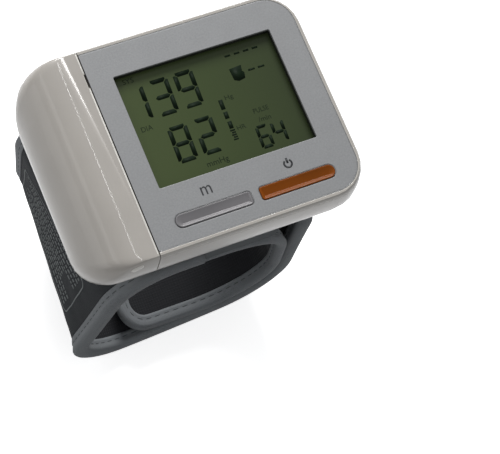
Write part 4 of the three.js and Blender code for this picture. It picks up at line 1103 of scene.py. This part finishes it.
settle(display_marks(), "monitor", "lcd")
settle(writing("lcd_captions", [("SYS", -19.8, 15.9, 2.2, 1.0), ("DIA", -20.1, 0.9, 2.2, 0.95),
                                ("mmHg", -4.9, -14.5, 2.5, 1.0), ("PULSE", 12.8, -3.9, 2.1, 0.85),
                                ("/min", 12.9, -6.7, 2.2, 1.0), ("Hg", 5.5, 2.5, 1.9, 1.2),
                                ("HR", 5.4, -7.1, 1.9, 1.1)], faint_ink, glass_high.z), "monitor", "lcd")
settle(writing("panel_m_sign", [("m", -11.9, -21.6, 5.5, 0.88)], print_ink, panel_top), "monitor", "panel")
settle(power_sign(12.9, -22.2), "monitor", "panel")


# Inside the housing

round_steel = ("pump_motor", "exhaust_valve", "memory_switch", "power_switch", "battery_spring_1",
               "battery_spring_2", "case_screw_1", "case_screw_2", "case_screw_3", "case_screw_4")

steel = metal("plated_steel", (176, 178, 180), 0.3)
paint(steel, *round_steel, "bridge_contact", "negative_contact", "positive_contact")
foil = metal("reflector_foil", (196, 198, 196), 0.2, (1, 1, 1))
paint(foil, "display_reflector")
smooth(40, *round_steel, "battery_1", "battery_2", "pump_head", "air_manifold", "buzzer", "pressure_sensor",
       "cuff_seat")

mask = Finish("board_mask", (24, 84, 50), 0.35)
tracks = mask.cells(3.2 * MM)
mask.colour(mask.ramp(tracks, (0.0, (20, 72, 43)), (0.3, (24, 84, 50)), (0.34, (34, 104, 62)),
                      (0.5, (26, 88, 53))))
mask.rough(mask.speckle(1 * MM, 3), 0.25, 0.45)
mask.bump(tracks, 0.05 * MM, 0.5)
paint(mask, "circuit_board")

strips = Finish("contact_rubber", (150, 118, 112), 0.6)
strips.colour(strips.ramp(strips.bands(0.4 * MM, "X", "Object"), (0.35, (60, 58, 58)), (0.6, (176, 132, 124))))
strips.bump(strips.speckle(0.3 * MM, 2), 0.02 * MM)
paint(strips, "display_connector")

sleeve = Finish("cell_sleeve", (52, 74, 98), 0.3, Coat_Weight=0.3)
cell_share = sleeve.along("Y", "Generated")
from_middle = sleeve.combine(sleeve.combine(cell_share, 2), 1, "SUBTRACT")
to_end = sleeve.node("Math", {0: from_middle}, operation="ABSOLUTE").outputs["Value"]
sleeve.colour(sleeve.ramp(to_end, (0.0, (52, 74, 98)), (0.48, (58, 80, 104)), (0.5, (198, 198, 192)),
                          (0.62, (198, 198, 192)), (0.64, (52, 74, 98)), (0.93, (50, 70, 92)),
                          (0.94, (168, 168, 166))))
sleeve.rough(sleeve.speckle(4 * MM, 3), 0.22, 0.42)
sleeve.bump(sleeve.speckle(1.2 * MM, 2), 0.02 * MM, 0.4)
paint(sleeve, "battery_1", "battery_2")

hose_finish = moulded("air_hose", (172, 174, 166), 0.35, 0.93, Subsurface_Weight=0.1)
hose_radius = 2 * MM
hose_bore = 1.62 * MM
hose_swell = 0.18 * MM


def bent(points, steps=48):
    """Places and directions along a smooth curve through the points."""
    ghosts = [2 * points[0] - points[1], *points, 2 * points[-1] - points[-2]]
    walk = []
    for i in range(steps + 1):
        at = (len(points) - 1) * i / steps
        k = min(len(points) - 2, int(at))
        t = at - k
        a, b, c, d = ghosts[k:k + 4]
        square, cube = 2 * a - 5 * b + 4 * c - d, 3 * b - a - 3 * c + d
        place = 0.5 * (2 * b + (c - a) * t + square * t * t + cube * t ** 3)
        way = 0.5 * ((c - a) + 2 * square * t + 3 * cube * t * t)
        walk.append((place, way.normalized()))
    return walk


def hose(name, places, node):
    """A soft air tube that swells where it is pushed over its nozzles."""
    walk = bent([Vector(p) * MM for p in places])
    side = walk[0][1].orthogonal().normalized()
    outside, bore = [], []
    for i, (place, way) in enumerate(walk):
        side = (side - way * side.dot(way)).normalized()
        up = way.cross(side)
        near_end = min(i, len(walk) - 1 - i) / (len(walk) - 1)
        swell = hose_swell * (1 - ease((near_end - 0.1) / 0.08))
        for radius, rings in ((hose_radius + swell, outside), (hose_bore, bore)):
            rings.append([tuple(place + radius * (side * c + up * s)) for c, s in around(16)])
    settle(Build().rings(outside + bore[::-1], closed=True).made(name, hose_finish), "monitor", "hose", node)


hose("pump_air_hose", [(0, 17.0, 78.9), (-2.5, 17.0, 78.9), (-5.1, 16.45, 78.35), (-6.6, 11.75, 77.3),
                       (-6.6, 6.5, 75.7), (-6.6, 4.0, 75.7)], "pump_tube")
hose("valve_air_hose", [(12.0, -17.0, 77.6), (9.5, -17.0, 77.6), (1.45, -17.0, 76.65), (-5.5, -14.8, 75.7),
                        (-6.6, -6.5, 75.7), (-6.6, -4.0, 75.7)], "valve_tube")
hose("sensor_air_hose", [(-6.6, 0, 78.7), (-6.6, 0, 79.5), (-6.6, 0, 81.0), (-6.6, 0, 83.6)], "sensor_tube")


# Stage, lights and camera

def place_facing(made, place, side, up, back):
    """Puts a lamp or camera at a place. It looks away from back."""
    made.location = place
    made.rotation_mode = "QUATERNION"
    made.rotation_quaternion = Matrix((side, up, back)).transposed().to_quaternion()
    bpy.context.scene.collection.objects.link(made)


def lamp(name, place, aim, size, power_watts):
    """A flat lamp. Its height runs along the depth of the stage."""
    data = bpy.data.lights.new(name, "AREA")
    data.shape = "RECTANGLE"
    data.size, data.size_y = size
    data.energy = power_watts
    back = (Vector(place) - Vector(aim)).normalized()
    side = Vector((0, 1, 0)).cross(back).normalized()
    place_facing(bpy.data.objects.new(name, data), place, side, back.cross(side), back)


def stage_floor():
    """A pale floor that bounces less light than the camera sees on it."""
    finish = Finish("floor_paint", (250, 250, 250), 0.9, Specular_IOR_Level=0.1)
    pale = finish.ramp(finish.speckle(0.2), (0.3, (249, 249, 249)), (0.7, (252, 252, 252)))
    rays = finish.node("LightPath").outputs
    direct_or_mirrored = finish.combine(rays["Is Camera Ray"], rays["Is Glossy Ray"], "MAXIMUM")
    seen = finish.combine(direct_or_mirrored, rays["Is Transmission Ray"], "MAXIMUM")
    finish.colour(finish.mix(seen, srgb(132, 132, 132), pale))
    glow = finish.combine(finish.combine(rays["Is Camera Ray"], 0.45), finish.combine(seen, 0.25), "ADD")
    finish.feed(finish.shader, {"Emission Color": (1, 1, 1, 1), "Emission Strength": glow})
    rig.stage(piece("floor", [(-3, -3, 0), (3, -3, 0), (3, 3, 0), (-3, 3, 0)], [(0, 1, 2, 3)], finish))


def stage_world():
    """An even sky that lights the part less than it brightens the background."""
    light, background = 0.37, 1.05
    world = bpy.data.worlds.new("studio")
    world.use_nodes = True
    tree = world.node_tree
    sky = tree.nodes["Background"]
    sky.inputs["Color"].default_value = (0.92, 0.93, 0.95, 1)
    ray = tree.nodes.new("ShaderNodeLightPath")
    strength = tree.nodes.new("ShaderNodeMath")
    strength.operation = "MULTIPLY_ADD"
    strength.inputs[1].default_value = background - light
    strength.inputs[2].default_value = light
    tree.links.new(ray.outputs["Is Camera Ray"], strength.inputs[0])
    tree.links.new(strength.outputs["Value"], sky.inputs["Strength"])
    bpy.context.scene.world = world


def stage_camera():
    data = bpy.data.cameras.new("camera")
    data.lens = 133.2
    camera = bpy.data.objects.new("camera", data)
    place_facing(camera, (-0.1413, -0.15665, 0.5677), side=(0.9062, -0.3832, 0.1788),
                 up=(0.3108, 0.8903, 0.3328), back=(-0.2867, -0.246, 0.9259))
    bpy.context.scene.camera = camera


stage_floor()
stage_world()
stage_camera()
lamp("overhead", (0.3, 1.08, 0.82), (0, 0, 0.05), (0.6, 0.6), 17)
lamp("ridge_strip", (0.06, 0.246, 1.06), (-0.03, 0, 0.099), (0.012, 0.6), 0.35)
lamp("left", (-0.69, 0.246, 0.81), (-0.03, 0, 0.099), (0.16, 0.9), 0.5)
lamp("low_left", (-1.0, 0.1, 0.3), (0, 0, 0.06), (0.5, 0.8), 1.1)
bpy.context.scene.view_settings.view_transform = "Standard"

with open("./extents.json", "w") as size_file:
    json.dump({"cad": [list(c) for c in cad_box], "visual": [list(c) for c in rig.bounds()]}, size_file)
